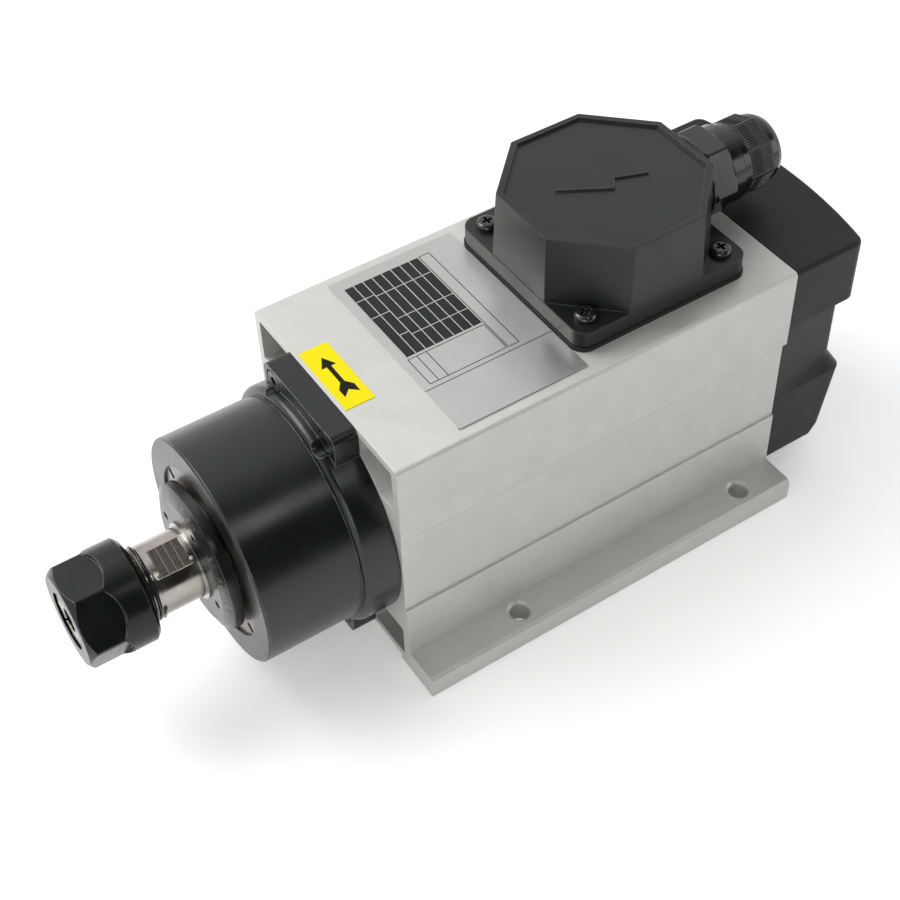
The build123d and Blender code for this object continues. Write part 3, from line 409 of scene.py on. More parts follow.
@node_group(
    "tool marks",
    (("Vector", "Vector", None), ("Stretch", "Vector", (1.0, 1.0, 1.0)), ("Scale", "Float", 2500.0)),
    {"Height": "Float"},
)
def tool_marks(tree: Tree, given: Any) -> dict[str, Socket]:
    """Fine parallel lines, by noise on stretched coordinates.

    Args:
        tree: The group's tree.
        given: The group's inputs, by name.

    Returns:
        The group's outputs, by name.
    """
    stretched = tree.vector("MULTIPLY", given["Vector"], given["Stretch"]).outputs[0]
    return {"Height": tree.noise(stretched, given["Scale"], Detail=3.0, Roughness=0.7)}


@node_group(
    "turned place", (("Vector", "Vector", None), ("Axis Height", "Float", AXIS_Z * MM)), {"Vector": "Vector"}
)
def turned_place(tree: Tree, given: Any) -> dict[str, Socket]:
    """Radius and station about an axis along Y, for marks that run round a turned part.

    Args:
        tree: The group's tree.
        given: The group's inputs, by name.

    Returns:
        The group's outputs, by name.
    """
    parts = tree.add("ShaderNodeSeparateXYZ", Vector=given["Vector"]).outputs
    rise = tree.math("SUBTRACT", parts["Z"], given["Axis Height"])
    radius = tree.vector("LENGTH", tree.join(X=parts["X"], Y=rise)).outputs["Value"]
    return {"Vector": tree.join(X=radius, Y=parts["Y"])}


# ---------------------------------------------------------------- finishes
@dataclass(frozen=True)
class Finish:
    """One surface finish and the material that shows it.

    Lengths are millimetres. The grain is the relief of the surface itself, the lay its tool marks.
    """

    name: str
    slot: Slot
    colour: Triple
    roughness: float
    metallic: float = 0.0
    specular: float = 0.5
    coat: float = 0.0
    shade: float = 0.12
    grain_size: float = 0.5
    relief: float = 0.004
    smudge: float = 0.08
    smudge_size: float = 22.0
    worn: Triple = (0.3, 0.3, 0.3)
    wear: float = 0.0
    edge: float = 0.35
    lay: Lay | None = None
    lay_pitch: float = 0.3
    lay_relief: float = 0.004
    axis_height: float = AXIS_Z
    wear_breakup: float = 260.0

    def height(self, tree: Tree, place: Socket, relief: Socket) -> Socket:
        """Add up the grain and the tool marks, in millimetres.

        Args:
            tree: The material's tree.
            place: The object coordinates.
            relief: The grain's height, from 0 to 1.

        Returns:
            The height for the bump.
        """
        total = tree.math("MULTIPLY", relief, self.relief)
        if self.lay is None:
            return total
        if self.lay is Lay.TURNED:
            place = tree.group(turned_place(), Vector=place, Axis_Height=self.axis_height * MM).outputs[0]
        scale = 1 / (self.lay_pitch * MM)
        marks = tree.group(tool_marks(), Vector=place, Stretch=self.lay.value, Scale=scale)
        return tree.math("MULTIPLY_ADD", marks.outputs[0], self.lay_relief, total)

    def tint(self, tree: Tree, place: Socket, colour: Socket) -> Socket:
        """Change the colour further; a plain finish leaves it."""
        return colour

    def material(self) -> bpy.types.Material:
        """Make the finish's material the first time that it is asked for.

        Returns:
            The shared material.
        """
        found = bpy.data.materials.get(self.name)
        if found is not None:
            return found
        made = bpy.data.materials.new(self.name)
        made.use_nodes = True
        made.diffuse_color = (*self.colour, 1.0)
        tree = Tree(made.node_tree)
        place = tree.add("ShaderNodeTexCoord").outputs["Object"]
        edges = tree.group(
            edge_wear(), Vector=place, Radius=self.edge * MM, Breakup=self.wear_breakup
        ).outputs
        fine = tree.group(grain(), Vector=place, Scale=1 / (self.grain_size * MM)).outputs
        patches = tree.group(smudges(), Vector=place, Scale=1 / (self.smudge_size * MM)).outputs["Mask"]
        dark = tuple(c * (1 - self.shade) for c in self.colour)
        colour = self.tint(tree, place, tree.mix(fine["Tone"], (*self.colour, 1.0), (*dark, 1.0)))
        rubbed = tree.math("MULTIPLY", edges["Mask"], self.wear)
        bump = tree.add(
            "ShaderNodeBump", Height=self.height(tree, place, fine["Height"]), Normal=edges["Normal"],
            Distance=MM, Strength=1.0,
        )
        tree.fill(made.node_tree.nodes["Principled BSDF"], {
            "Base Color": tree.mix(rubbed, colour, (*self.worn, 1.0)),
            "Roughness": tree.math("MULTIPLY_ADD", patches, self.smudge, self.roughness - self.smudge / 2),
            "Normal": bump.outputs[0],
            "Metallic": self.metallic,
            "Specular IOR Level": self.specular,
            "Coat Weight": self.coat,
        })
        return made


@dataclass(frozen=True)
class ScuffedAnodising(Finish):
    """Satin anodising with thin pale scratches."""

    scratch: float = 0.35
    scratch_colour: Triple = (0.9, 0.9, 0.9)

    def tint(self, tree: Tree, place: Socket, colour: Socket) -> Socket:
        """Lay sparse scratches over the colour.

        Args:
            tree: The material's tree.
            place: The object coordinates.
            colour: The plain colour.

        Returns:
            The scratched colour.
        """
        lines = tree.group(tool_marks(), Vector=place, Stretch=(1.0, 0.02, 1.0), Scale=700.0).outputs[0]
        where = tree.group(smudges(), Vector=place, Scale=28.0).outputs[0]
        strength = tree.math("MULTIPLY", where, self.scratch)
        mask = tree.math("MULTIPLY", tree.ramp(lines, 0.66, 0.72), strength)
        return tree.mix(mask, colour, (*self.scratch_colour, 1.0))


@dataclass(frozen=True)
class MilledSteel(Finish):
    """Dull milled steel with a pale burr between the passes of the cutter, which step along Y."""

    band: float = 2.45
    burr: float = 0.5
    hatch: float = 0.35
    burr_colour: Triple = (0.42, 0.39, 0.33)

    def tint(self, tree: Tree, place: Socket, colour: Socket) -> Socket:
        """Draw the burrs, and a fine cross-hatch between them.

        Args:
            tree: The material's tree.
            place: The object coordinates.
            colour: The plain colour.

        Returns:
            The marked colour.
        """
        along = tree.add("ShaderNodeSeparateXYZ", Vector=place).outputs["Y"]
        phase = tree.math("FRACT", tree.math("DIVIDE", along, self.band * MM))
        burr = tree.ramp(tree.math("ABSOLUTE", tree.math("SUBTRACT", phase, 0.5)), 0.41, 0.47)
        cross = tree.group(tool_marks(), Vector=place, Stretch=(0.25, 1.0, 0.25), Scale=4200.0).outputs[0]
        rows = tree.group(tool_marks(), Vector=place, Stretch=(1.0, 0.1, 1.0), Scale=2600.0).outputs[0]
        speckle = tree.math("MULTIPLY", tree.ramp(cross, 0.4, 0.68), tree.ramp(rows, 0.35, 0.65, 0.3, 1.0))
        pale = tree.math(
            "MAXIMUM", tree.math("MULTIPLY", burr, self.burr), tree.math("MULTIPLY", speckle, self.hatch)
        )
        return tree.mix(pale, colour, (*self.burr_colour, 1.0))


HOUSING = ScuffedAnodising(
    "satin anodised aluminium", Slot.HOUSING, (0.59, 0.595, 0.565), 0.42, metallic=0.25, shade=0.07,
    grain_size=0.3, relief=0.006, smudge=0.12, smudge_size=30.0, worn=(0.86, 0.86, 0.85), wear=0.35,
    edge=0.5, lay=Lay.DRAWN, lay_pitch=0.8, lay_relief=0.012,
)
NOSE = Finish(
    "black hard anodising", Slot.BLACK_ANODISED, (0.007, 0.0075, 0.008), 0.27, shade=0.3, grain_size=0.2,
    relief=0.0015, smudge=0.06, worn=(0.45, 0.45, 0.45), wear=0.7, edge=0.4, lay=Lay.TURNED,
    lay_pitch=0.35, lay_relief=0.002,
)
BLACK_STEEL = Finish(
    "blackened steel", Slot.BLACK_STEEL, (0.012, 0.012, 0.013), 0.28, specular=0.6, shade=0.3,
    grain_size=0.25, relief=0.002, worn=(0.3, 0.3, 0.3), wear=0.4, edge=0.2,
)
RING_STEEL = Finish(
    "turned grey steel", Slot.BEARING_STEEL, (0.25, 0.235, 0.21), 0.32, metallic=0.95, shade=0.25,
    grain_size=0.4, relief=0.003, smudge=0.15, worn=(0.6, 0.58, 0.54), wear=0.5, edge=0.25,
    lay=Lay.TURNED, lay_pitch=0.25, lay_relief=0.008,
)
CAP_STEEL = Finish(
    "black turned steel", Slot.BLACK_STEEL, (0.009, 0.0095, 0.01), 0.25, specular=0.52, shade=0.3,
    grain_size=0.3, relief=0.0015, smudge=0.08, worn=(0.5, 0.5, 0.5), wear=0.6, edge=0.25, lay=Lay.TURNED,
    lay_pitch=0.3, lay_relief=0.003,
)
GROUND = Finish(
    "ground steel", Slot.GROUND_STEEL, (0.42, 0.40, 0.365), 0.19, metallic=1.0, shade=0.25,
    grain_size=0.35, relief=0.002, smudge=0.14, smudge_size=8.0, worn=(0.8, 0.8, 0.78), wear=0.5,
    edge=0.25, lay=Lay.TURNED, lay_pitch=0.3, lay_relief=0.004,
)
CUT_THREAD = Finish(
    "cut thread", Slot.GROUND_STEEL, (0.24, 0.225, 0.2), 0.24, metallic=1.0, shade=0.35, grain_size=0.3,
    relief=0.003, smudge=0.14, smudge_size=5.0, worn=(0.75, 0.73, 0.7), wear=0.7, edge=0.12,
)
MILLED = MilledSteel(
    "milled steel", Slot.GROUND_STEEL, (0.05, 0.042, 0.032), 0.6, metallic=0.3, shade=0.3,
    grain_size=0.25, relief=0.012, smudge=0.1, worn=(0.5, 0.48, 0.42), wear=0.3, edge=0.15,
)
BEARING = Finish(
    "polished bearing steel", Slot.BEARING_STEEL, (0.7, 0.7, 0.71), 0.14, metallic=1.0, shade=0.08,
    grain_size=0.3, relief=0.001, worn=(0.85, 0.85, 0.85), wear=0.2, edge=0.3, lay=Lay.TURNED,
    lay_pitch=0.2, lay_relief=0.002,
)
CAGE = Finish(
    "cage brass", Slot.CAGE_BRASS, (0.62, 0.42, 0.16), 0.3, metallic=1.0, grain_size=0.4, wear=0.3,
    worn=(0.85, 0.68, 0.35),
)
NUT = Finish(
    "black oxide", Slot.BLACK_NUT, (0.008, 0.0085, 0.009), 0.25, specular=0.33, shade=0.35,
    grain_size=0.3, relief=0.003, smudge=0.08, smudge_size=9.0, worn=(0.42, 0.42, 0.42), wear=0.7,
    edge=0.35, lay=Lay.TURNED, lay_pitch=0.4, lay_relief=0.002,
)
CORE = Finish(
    "lamination steel", Slot.CORE_STEEL, (0.24, 0.245, 0.26), 0.42, metallic=0.8, grain_size=0.4,
    lay=Lay.ACROSS, lay_pitch=0.5, lay_relief=0.05, shade=0.3,
)
WINDING = Finish(
    "enamelled copper", Slot.WINDING, (0.5, 0.17, 0.06), 0.28, metallic=0.7, coat=0.4, grain_size=0.6,
    relief=0.02, lay=Lay.TURNED, lay_pitch=0.9, lay_relief=0.25, shade=0.35,
)
CAST = Finish(
    "cast aluminium", Slot.CAST_ALUMINIUM, (0.5, 0.5, 0.5), 0.5, metallic=0.8, grain_size=0.7,
    relief=0.03, shade=0.15, worn=(0.8, 0.8, 0.8), wear=0.3,
)
ZINC = Finish(
    "zinc plated steel", Slot.ZINC_STEEL, (0.58, 0.58, 0.56), 0.3, metallic=1.0, grain_size=0.3,
    shade=0.15, worn=(0.8, 0.8, 0.8), wear=0.3, edge=0.2,
)
SCREW_BLACK = Finish(
    "black screw", Slot.ZINC_STEEL, (0.012, 0.012, 0.012), 0.2, specular=0.7, grain_size=0.25, shade=0.3,
    worn=(0.3, 0.3, 0.3), wear=0.4, edge=0.2,
)
LID = Finish(
    "moulded black plastic", Slot.BLACK_PLASTIC, (0.013, 0.0135, 0.0135), 0.33, specular=0.37, shade=0.2,
    grain_size=0.32, relief=0.03, smudge=0.1, worn=(0.14, 0.14, 0.14), wear=0.4, edge=0.5,
)
COVER = Finish(
    "grained black plastic", Slot.BLACK_PLASTIC, (0.010, 0.0103, 0.0105), 0.44, specular=0.24, shade=0.2,
    grain_size=0.4, relief=0.03, smudge=0.08, worn=(0.09, 0.09, 0.09), wear=0.3, edge=0.6,
)
RUBBER = Finish(
    "gasket rubber", Slot.RUBBER, (0.014, 0.014, 0.014), 0.6, specular=0.35, grain_size=0.4, relief=0.02,
    shade=0.2,
)
BLOCK = Finish(
    "terminal block plastic", Slot.BLOCK_PLASTIC, (0.35, 0.05, 0.02), 0.45, grain_size=0.4, relief=0.01,
)
BRASS = Finish(
    "terminal brass", Slot.BRASS, (0.72, 0.5, 0.2), 0.25, metallic=1.0, grain_size=0.3, wear=0.3,
    worn=(0.9, 0.75, 0.4), edge=0.2,
)
LEAD = Finish("lead insulation", Slot.LEAD, (0.35, 0.02, 0.015), 0.4, grain_size=0.5, relief=0.006)
GLAND = Finish(
    "glossy black nylon", Slot.GLAND, (0.009, 0.009, 0.0095), 0.16, specular=0.55, shade=0.2,
    grain_size=0.5, relief=0.003, smudge=0.08, smudge_size=8.0, worn=(0.12, 0.12, 0.12), wear=0.3,
    edge=0.35, axis_height=GLAND_AXIS_Z,
)
PLATE = Finish(
    "brushed plate", Slot.PLATE, (0.5, 0.505, 0.49), 0.32, metallic=0.7, shade=0.06, grain_size=0.4,
    relief=0.001, smudge=0.1, worn=(0.75, 0.75, 0.75), wear=0.3, edge=0.1, lay=Lay.ACROSS, lay_pitch=0.15,
    lay_relief=0.002,
)
INK = Finish(
    "black print", Slot.PLATE, (0.012, 0.0125, 0.014), 0.4, specular=0.25, shade=0.12, grain_size=0.4,
    relief=0.001, edge=0.05,
)
RULE = Finish(
    "pale print", Slot.PLATE, (0.55, 0.55, 0.54), 0.45, shade=0.08, grain_size=0.4, relief=0.001,
    edge=0.02,
)
LABEL = Finish(
    "yellow vinyl", Slot.LABEL, (0.86, 0.72, 0.001), 0.45, specular=0.12, shade=0.04, grain_size=0.5,
    relief=0.002, edge=0.05, worn=(0.95, 0.85, 0.2), wear=0.2,
)
ARROW_INK = Finish(
    "arrow print", Slot.LABEL, (0.008, 0.007, 0.006), 0.45, specular=0.12, shade=0.1, grain_size=0.4,
    relief=0.001, edge=0.03,
)


# ---------------------------------------------------------------- making and settling pieces
def linked(name: str, data: bpy.types.ID) -> Piece:
    """Put an object in the scene at the origin.

    Args:
        name: The object's name.
        data: Its mesh, camera or lamp.

    Returns:
        The object.
    """
    made = bpy.data.objects.new(name, data)
    bpy.context.scene.collection.objects.link(made)
    return made


def faired(bm: bmesh.types.BMesh, name: str, smooth: float) -> Piece:
    """Turn a bmesh into an object that is smooth but for its sharp edges.

    Args:
        bm: The shape, freed by this call.
        name: The object's name.
        smooth: The largest angle, in degrees, that is shaded smooth.

    Returns:
        The object.
    """
    for face in bm.faces:
        face.smooth = True
    for edge in bm.edges:
        edge.smooth = edge.calc_face_angle(math.pi) < math.radians(smooth)
    mesh = bpy.data.meshes.new(name)
    bm.to_mesh(mesh)
    bm.free()
    return linked(name, mesh)


def evaluated_mesh(piece: Piece) -> bpy.types.Mesh:
    """Take the mesh that a piece's modifiers make, as plain data."""
    evaluated = piece.evaluated_get(bpy.context.evaluated_depsgraph_get())
    return bpy.data.meshes.new_from_object(evaluated)


def milled(piece: Piece, cutter: Piece, smooth: float) -> Piece:
    """Cut one shape out of another, and keep the result alone.

    Args:
        piece: The shape that is cut.
        cutter: The shape that is taken away.
        smooth: The largest angle, in degrees, that is shaded smooth.

    Returns:
        The cut shape, as a plain object.
    """
    cut = piece.modifiers.new("cut", "BOOLEAN")
    cut.operation, cut.solver, cut.object = "DIFFERENCE", "EXACT", cutter
    mesh = evaluated_mesh(piece)
    bm = bmesh.new()
    bm.from_mesh(mesh)
    name = piece.name
    bpy.data.objects.remove(piece)
    bpy.data.objects.remove(cutter)
    bpy.data.meshes.remove(mesh)
    return faired(bm, name, smooth)


def refined(node: str, frame: dict[str, Any], smooth: float = 32.0, bevel: float = 0.0,
            cutter: Piece | None = None) -> Piece:
    """Copy a solid, merge its loose triangles, and round its edges.

    Args:
        node: The solid's node.
        frame: The loaded frame.
        smooth: The largest angle that is shaded smooth, in degrees.
        bevel: The width of a real bevel, in millimetres, or 0.
        cutter: A shape that is cut out of the copy first.

    Returns:
        The new object, which stands for the node.
    """
    source = frame["nodes"][node].data
    bm = bmesh.new()
    verts = [bm.verts.new(v.co) for v in source.vertices]
    for polygon in source.polygons:
        bm.faces.new([verts[i] for i in polygon.vertices])
    bmesh.ops.remove_doubles(bm, verts=bm.verts, dist=MERGE_DISTANCE * MM)
    bmesh.ops.dissolve_degenerate(bm, dist=SLIVER * MM, edges=bm.edges)
    bmesh.ops.dissolve_limit(bm, angle_limit=math.radians(COPLANAR_ANGLE), verts=bm.verts, edges=bm.edges)
    made = faired(bm, node + "_dressed", smooth)
    if cutter is not None:
        made = milled(made, cutter, smooth)
    if bevel:
        rounding = made.modifiers.new("edges", "BEVEL")
        rounding.width = bevel * MM
        rounding.segments = 2
        rounding.limit_method = "ANGLE"
        rounding.angle_limit = math.radians(smooth)
        rounding.harden_normals = True
    even = made.modifiers.new("even shading", "WEIGHTED_NORMAL")
    even.keep_sharp = True
    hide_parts(node)
    return made


def prism(bm: bmesh.types.BMesh, floor: Sequence[Vector], top: Sequence[Vector]) -> None:
    """Close the space between two outlines that have the same number of corners.

    Args:
        bm: The mesh that takes the prism.
        floor: The corners of one end, in metres.
        top: The corners of the other end, in the same order.
    """
    low, high = ([bm.verts.new(point) for point in outline] for outline in (floor, top))
    bm.faces.new(low)
    bm.faces.new(reversed(high))
    for i, start in enumerate(low):
        j = (i + 1) % len(low)
        bm.faces.new((start, high[i], high[j], low[j]))
    bmesh.ops.recalc_face_normals(bm, faces=bm.faces)


def flat_shape(name: str, corners: Sequence[tuple[float, float]], low: float, high: float) -> Piece:
    """Make a thin slab between two heights.

    Args:
        name: The object's name.
        corners: The (x, y) corners in order, in millimetres.
        low: The height of its underside, in millimetres.
        high: The height of its top, in millimetres.

    Returns:
        The slab.
    """
    bm = bmesh.new()
    prism(bm, *([Vector((x, y, height)) * MM for x, y in corners] for height in (low, high)))
    return faired(bm, name, SLAB_SMOOTH)


def grown(name: str, tree: NodeTree, finish: Finish, **sizes: Any) -> Piece:
    """Evaluate a geometry tree once and keep the result as a plain mesh.

    Args:
        name: The object's name.
        tree: The geometry node tree.
        finish: The finish that the tree sets.
        **sizes: Values of the tree's named inputs, with _ for a space.

    Returns:
        The plain object, with no modifier left on it.
    """
    seed = linked(name + " seed", bpy.data.meshes.new(name + " seed"))
    modifier = seed.modifiers.new("grow", "NODES")
    modifier.node_group = tree
    values = {"Material": finish.material()} | {k.replace("_", " "): v for k, v in sizes.items()}
    for item in tree.interface.items_tree:
        if item.in_out == "INPUT" and item.name in values:
            modifier[item.identifier] = values[item.name]
    mesh = evaluated_mesh(seed)
    bpy.data.objects.remove(seed)
    mesh.name = name
    return linked(name, mesh)


def dressed(piece: Piece, body: Body, finish: Finish) -> None:
    """Give a piece its finish, seat it on its body and report it.

    Args:
        piece: The object.
        body: The body that it rides on.
        finish: Its finish.
    """
    piece.data.materials.clear()
    piece.data.materials.append(finish.material())
    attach(piece, body.value)
    log.info("%s: %s on %s", piece.name, finish.name, body.value)


# ---------------------------------------------------------------- geometry trees
@geometry_tree("thread ridge", (
    ("Crest", "Float", 0.0124), ("Ridge", "Float", 0.0007), ("Pitch", "Float", 0.0015),
    ("Length", "Float", 0.017), ("Start", "Float", 0.0), ("Axis Height", "Float", AXIS_Z * MM),
))
def thread_tree(tree: Tree, given: Any) -> Socket:
    """A V-shaped thread ridge that winds along -Y about the spindle axis.

    Args:
        tree: The geometry tree.
        given: The tree's inputs, by name.

    Returns:
        The geometry.
    """
    middle = tree.math("SUBTRACT", given["Crest"], given["Ridge"])
    turns = tree.math("DIVIDE", given["Length"], given["Pitch"])
    spiral = tree.add(
        "GeometryNodeCurveSpiral", Resolution=64, Rotations=turns, Start_Radius=middle, End_Radius=middle,
        Height=given["Length"],
    )
    profile = tree.add("GeometryNodeCurvePrimitiveCircle", Resolution=4, Radius=given["Ridge"])
    ridge = tree.add(
        "GeometryNodeCurveToMesh", Curve=spiral.outputs[0], Profile_Curve=profile.outputs[0], Fill_Caps=True
    )
    placed = tree.laid_along_y(ridge.outputs[0], given["Start"], given["Axis Height"])
    return tree.add("GeometryNodeSetShadeSmooth", Geometry=placed, Shade_Smooth=False).outputs[0]


@geometry_tree("ball ring", (
    ("Count", "Int", 11), ("Circle", "Float", 0.019), ("Ball", "Float", 0.0039), ("Station", "Float", 0.0),
    ("Axis Height", "Float", AXIS_Z * MM),
))
def ball_ring_tree(tree: Tree, given: Any) -> Socket:
    """Balls at equal angles on a circle about the spindle axis.

    Args:
        tree: The geometry tree.
        given: The tree's inputs, by name.

    Returns:
        The geometry.
    """
    circle = tree.add("GeometryNodeMeshCircle", Vertices=given["Count"], Radius=given["Circle"])
    ball = tree.add("GeometryNodeMeshUVSphere", Segments=24, Rings=16, Radius=given["Ball"])
    smooth = tree.add("GeometryNodeSetShadeSmooth", Geometry=ball.outputs[0], Shade_Smooth=True)
    ring = tree.add("GeometryNodeInstanceOnPoints", Points=circle.outputs[0], Instance=smooth.outputs[0])
    return tree.laid_along_y(ring.outputs[0], given["Station"], given["Axis Height"])


@geometry_tree("ribbed flats", (
    ("Flats", "Int", 8), ("Ribs", "Int", 9), ("Pitch", "Float", 0.001), ("Rib", "Float", 0.0003),
    ("Across", "Float", 0.0117), ("Length", "Float", 0.0085), ("Turn", "Float", 0.0),
    ("Station", "Float", 0.0), ("Axis Height", "Float", GLAND_AXIS_Z * MM),
))
def ribbed_ring_tree(tree: Tree, given: Any) -> Socket:
    """Fine ribs along Y on the flats of a many-sided ring.

    Args:
        tree: The geometry tree.
        given: The tree's inputs, by name.

    Returns:
        The geometry.
    """
    spread = tree.math("MULTIPLY", given["Pitch"], tree.math("SUBTRACT", given["Ribs"], 1.0))
    first = tree.join(X=given["Across"], Y=tree.math("MULTIPLY", spread, -0.5))
    row = tree.add(
        "GeometryNodeMeshLine", Count=given["Ribs"], Start_Location=first, Offset=tree.join(Y=given["Pitch"])
    )
    rib = tree.add("GeometryNodeMeshCylinder", Vertices=8, Radius=given["Rib"], Depth=given["Length"])
    softened = tree.add("GeometryNodeSetShadeSmooth", Geometry=rib.outputs[0], Shade_Smooth=True)
    flat = tree.add("GeometryNodeInstanceOnPoints", Points=row.outputs[0], Instance=softened.outputs[0])
    centres = tree.add("GeometryNodeMeshLine", Count=given["Flats"], Offset=(0.0, 0.0, 0.0))
    index = tree.add("GeometryNodeInputIndex").outputs[0]
    turn = tree.math("DIVIDE", tree.math("MULTIPLY", index, math.tau), given["Flats"])
    ring = tree.add(
        "GeometryNodeInstanceOnPoints", Points=centres.outputs[0], Instance=flat.outputs[0],
        Rotation=tree.join(Z=tree.math("ADD", turn, given["Turn"])),
    )
    return tree.laid_along_y(ring.outputs[0], given["Station"], given["Axis Height"])


@geometry_tree("ruled lines", (
    ("Width", "Float", 0.037), ("Line", "Float", 0.0002), ("Thickness", "Float", 0.00004),
    ("Step", "Float", -0.0034), ("Count", "Int", 9), ("First", "Vector", (0.0, 0.0, 0.0)),
))
def ruled_table_tree(tree: Tree, given: Any) -> Socket:
    """Parallel printed lines: a row of thin bars with a fixed step.

    Args:
        tree: The geometry tree.
        given: The tree's inputs, by name.

    Returns:
        The geometry.
    """
    size = tree.join(X=given["Width"], Y=given["Line"], Z=given["Thickness"])
    bar = tree.add("GeometryNodeMeshCube", Size=size)
    row = tree.add(
        "GeometryNodeMeshLine", Count=given["Count"], Start_Location=given["First"],
        Offset=tree.join(Y=given["Step"]),
    )
    lines = tree.add("GeometryNodeInstanceOnPoints", Points=row.outputs[0], Instance=bar.outputs[0])
    return lines.outputs[0]


# ---------------------------------------------------------------- studio
@dataclass(frozen=True)
class Lamp:
    """One soft lamp. Lengths are metres, and the power is watts."""

    name: str
    place: Triple
    size: tuple[float, float]
    power: float
    aim: Triple = (0.0, 0.0, 0.05)

    def hang(self) -> None:
        """Add the lamp to the scene, facing its aim."""
        data = bpy.data.lights.new(self.name, "AREA")
        data.shape = "RECTANGLE"
        data.size, data.size_y = self.size
        data.energy = self.power
        made = linked(self.name, data)
        made.location = self.place
        made.rotation_euler = (Vector(self.aim) - Vector(self.place)).to_track_quat("-Z", "Y").to_euler()


@dataclass
class Studio:
    """The floor, the light and the camera. Angles are degrees, lengths millimetres."""

    azimuth: float = 58.262
    elevation: float = 45.685
    roll: float = -2.167
    pivot: Triple = (0.0, 5.5, 48.0)
    offset: Triple = (38.258, -10.028, 548.795)
    lens: float = 65.22
    sensor: float = 36.0
    shift_up: float = -0.05
    clip: tuple[float, float] = (20.0, 20000.0)
    floor_size: float = 8000.0
    floor_glow: float = 0.32
    floor_colours: tuple[float, float] = (0.84, 0.86)
    dim_side: Triple = (0.862, 0.0, 0.507)
    dim_level: float = 0.03
    lamps: tuple[Lamp, ...] = (
        Lamp("left soft box", (-0.5, -0.45, 0.75), (0.6, 0.6), 5.8),
        Lamp("front right soft box", (0.62, -0.55, 0.33), (0.45, 0.45), 1.6),
        Lamp("rear right soft box", (0.55, 0.65, 0.33), (0.45, 0.45), 1.4),
        Lamp("strip over the nose", (0.34, 0.015, 0.565), (0.09, 0.13), 0.2, (0.022, -0.11, 0.079)),
    )

    def camera(self) -> None:
        """Place the camera by its angles about the pivot and its offset in its own axes."""
        azimuth, elevation, roll = (math.radians(a) for a in (self.azimuth, self.elevation, self.roll))
        reach = math.cos(elevation)
        back = Vector((reach * math.sin(azimuth), -reach * math.cos(azimuth), math.sin(elevation)))
        level = (-back).cross(Vector((0, 0, 1))).normalized()
        upright = level.cross(-back)
        right = math.cos(roll) * level + math.sin(roll) * upright
        up = -math.sin(roll) * level + math.cos(roll) * upright
        across, down, away = self.offset
        place = Vector(self.pivot) - right * across + up * down + back * away
        data = bpy.data.cameras.new("camera")
        data.lens = self.lens
        data.sensor_width = self.sensor
        data.shift_y = self.shift_up
        data.clip_start, data.clip_end = (distance * MM for distance in self.clip)
        made = linked("camera", data)
        made.matrix_world = Matrix.Translation(place * MM) @ Matrix((right, up, back)).transposed().to_4x4()
        bpy.context.scene.camera = made

    def floor(self) -> None:
        """Lay a pale floor that glows a little where it is seen or mirrored, so that it keeps the shadow."""
        half = self.floor_size * MM / 2
        made = linked("floor", bpy.data.meshes.new("floor"))
        corners = [(-half, -half, 0), (half, -half, 0), (half, half, 0), (-half, half, 0)]
        made.data.from_pydata(corners, [], [(0, 1, 2, 3)])
        material = bpy.data.materials.new("floor")
        material.use_nodes = True
        tree = Tree(material.node_tree)
        path = tree.add("ShaderNodeLightPath").outputs
        seen = tree.math("MAXIMUM", path["Is Camera Ray"], path["Is Glossy Ray"])
        mottle = tree.noise(tree.add("ShaderNodeTexCoord").outputs["Object"], 3.0)
        first, second = ((level, level, level, 1) for level in self.floor_colours)
        tree.fill(material.node_tree.nodes["Principled BSDF"], {
            "Base Color": tree.mix(mottle, first, second),
            "Roughness": 0.95,
            "Specular IOR Level": 0.1,
            "Emission Color": WHITE,
            "Emission Strength": tree.math("MULTIPLY", seen, self.floor_glow),
        })
        made.data.materials.append(material)

    def surroundings(self) -> None:
        """A white room that is dim on the side the camera stands, so that dark gloss keeps its depth."""
        world = bpy.data.worlds.new("room")
        world.use_nodes = True
        bpy.context.scene.world = world
        tree = Tree(world.node_tree)
        direction = tree.add("ShaderNodeTexCoord").outputs["Generated"]
        dim_side = tuple(Vector(self.dim_side).normalized())
        facing = tree.vector("DOT_PRODUCT", direction, dim_side).outputs["Value"]
        level = tree.ramp(facing, 0.3, 0.75, 1.0, self.dim_level)
        seen = tree.add("ShaderNodeLightPath").outputs["Is Camera Ray"]
        tree.fill(world.node_tree.nodes["Background"], {
            "Color": WHITE, "Strength": tree.math("MAXIMUM", level, seen),
        })

    def build(self) -> None:
        """Set up the whole studio."""
        self.camera()
        self.floor()
        self.surroundings()
        for lamp in self.lamps:
            lamp.hang()
        bpy.context.scene.view_settings.view_transform = "Standard"


# ---------------------------------------------------------------- sub-assemblies
Solids = dict[str, tuple[Body, Finish, float]]


@dataclass
class SubAssembly:
    """A group of solids with the same kind of dressing.

    The solids map each node to its body, its finish and the width of its real bevel.
    """

    frame: dict[str, Any]

    def solids(self) -> Solids:
        """Name the solids whose own shape is right."""
        return {}

    def details(self) -> None:
        """Build the pieces that solids leave out."""

    def build(self) -> None:
        """Dress the solids, then add the details."""
        for node, (body, finish, bevel) in self.solids().items():
            dressed(refined(node, self.frame, bevel=bevel), body, finish)
        self.details()


@dataclass
class Housing(SubAssembly):
    """The extruded housing on its feet."""

    def solids(self) -> Solids:
        """The extrusion alone."""
        return {"housing_profile": (Body.MOTOR, HOUSING, 0.0)}


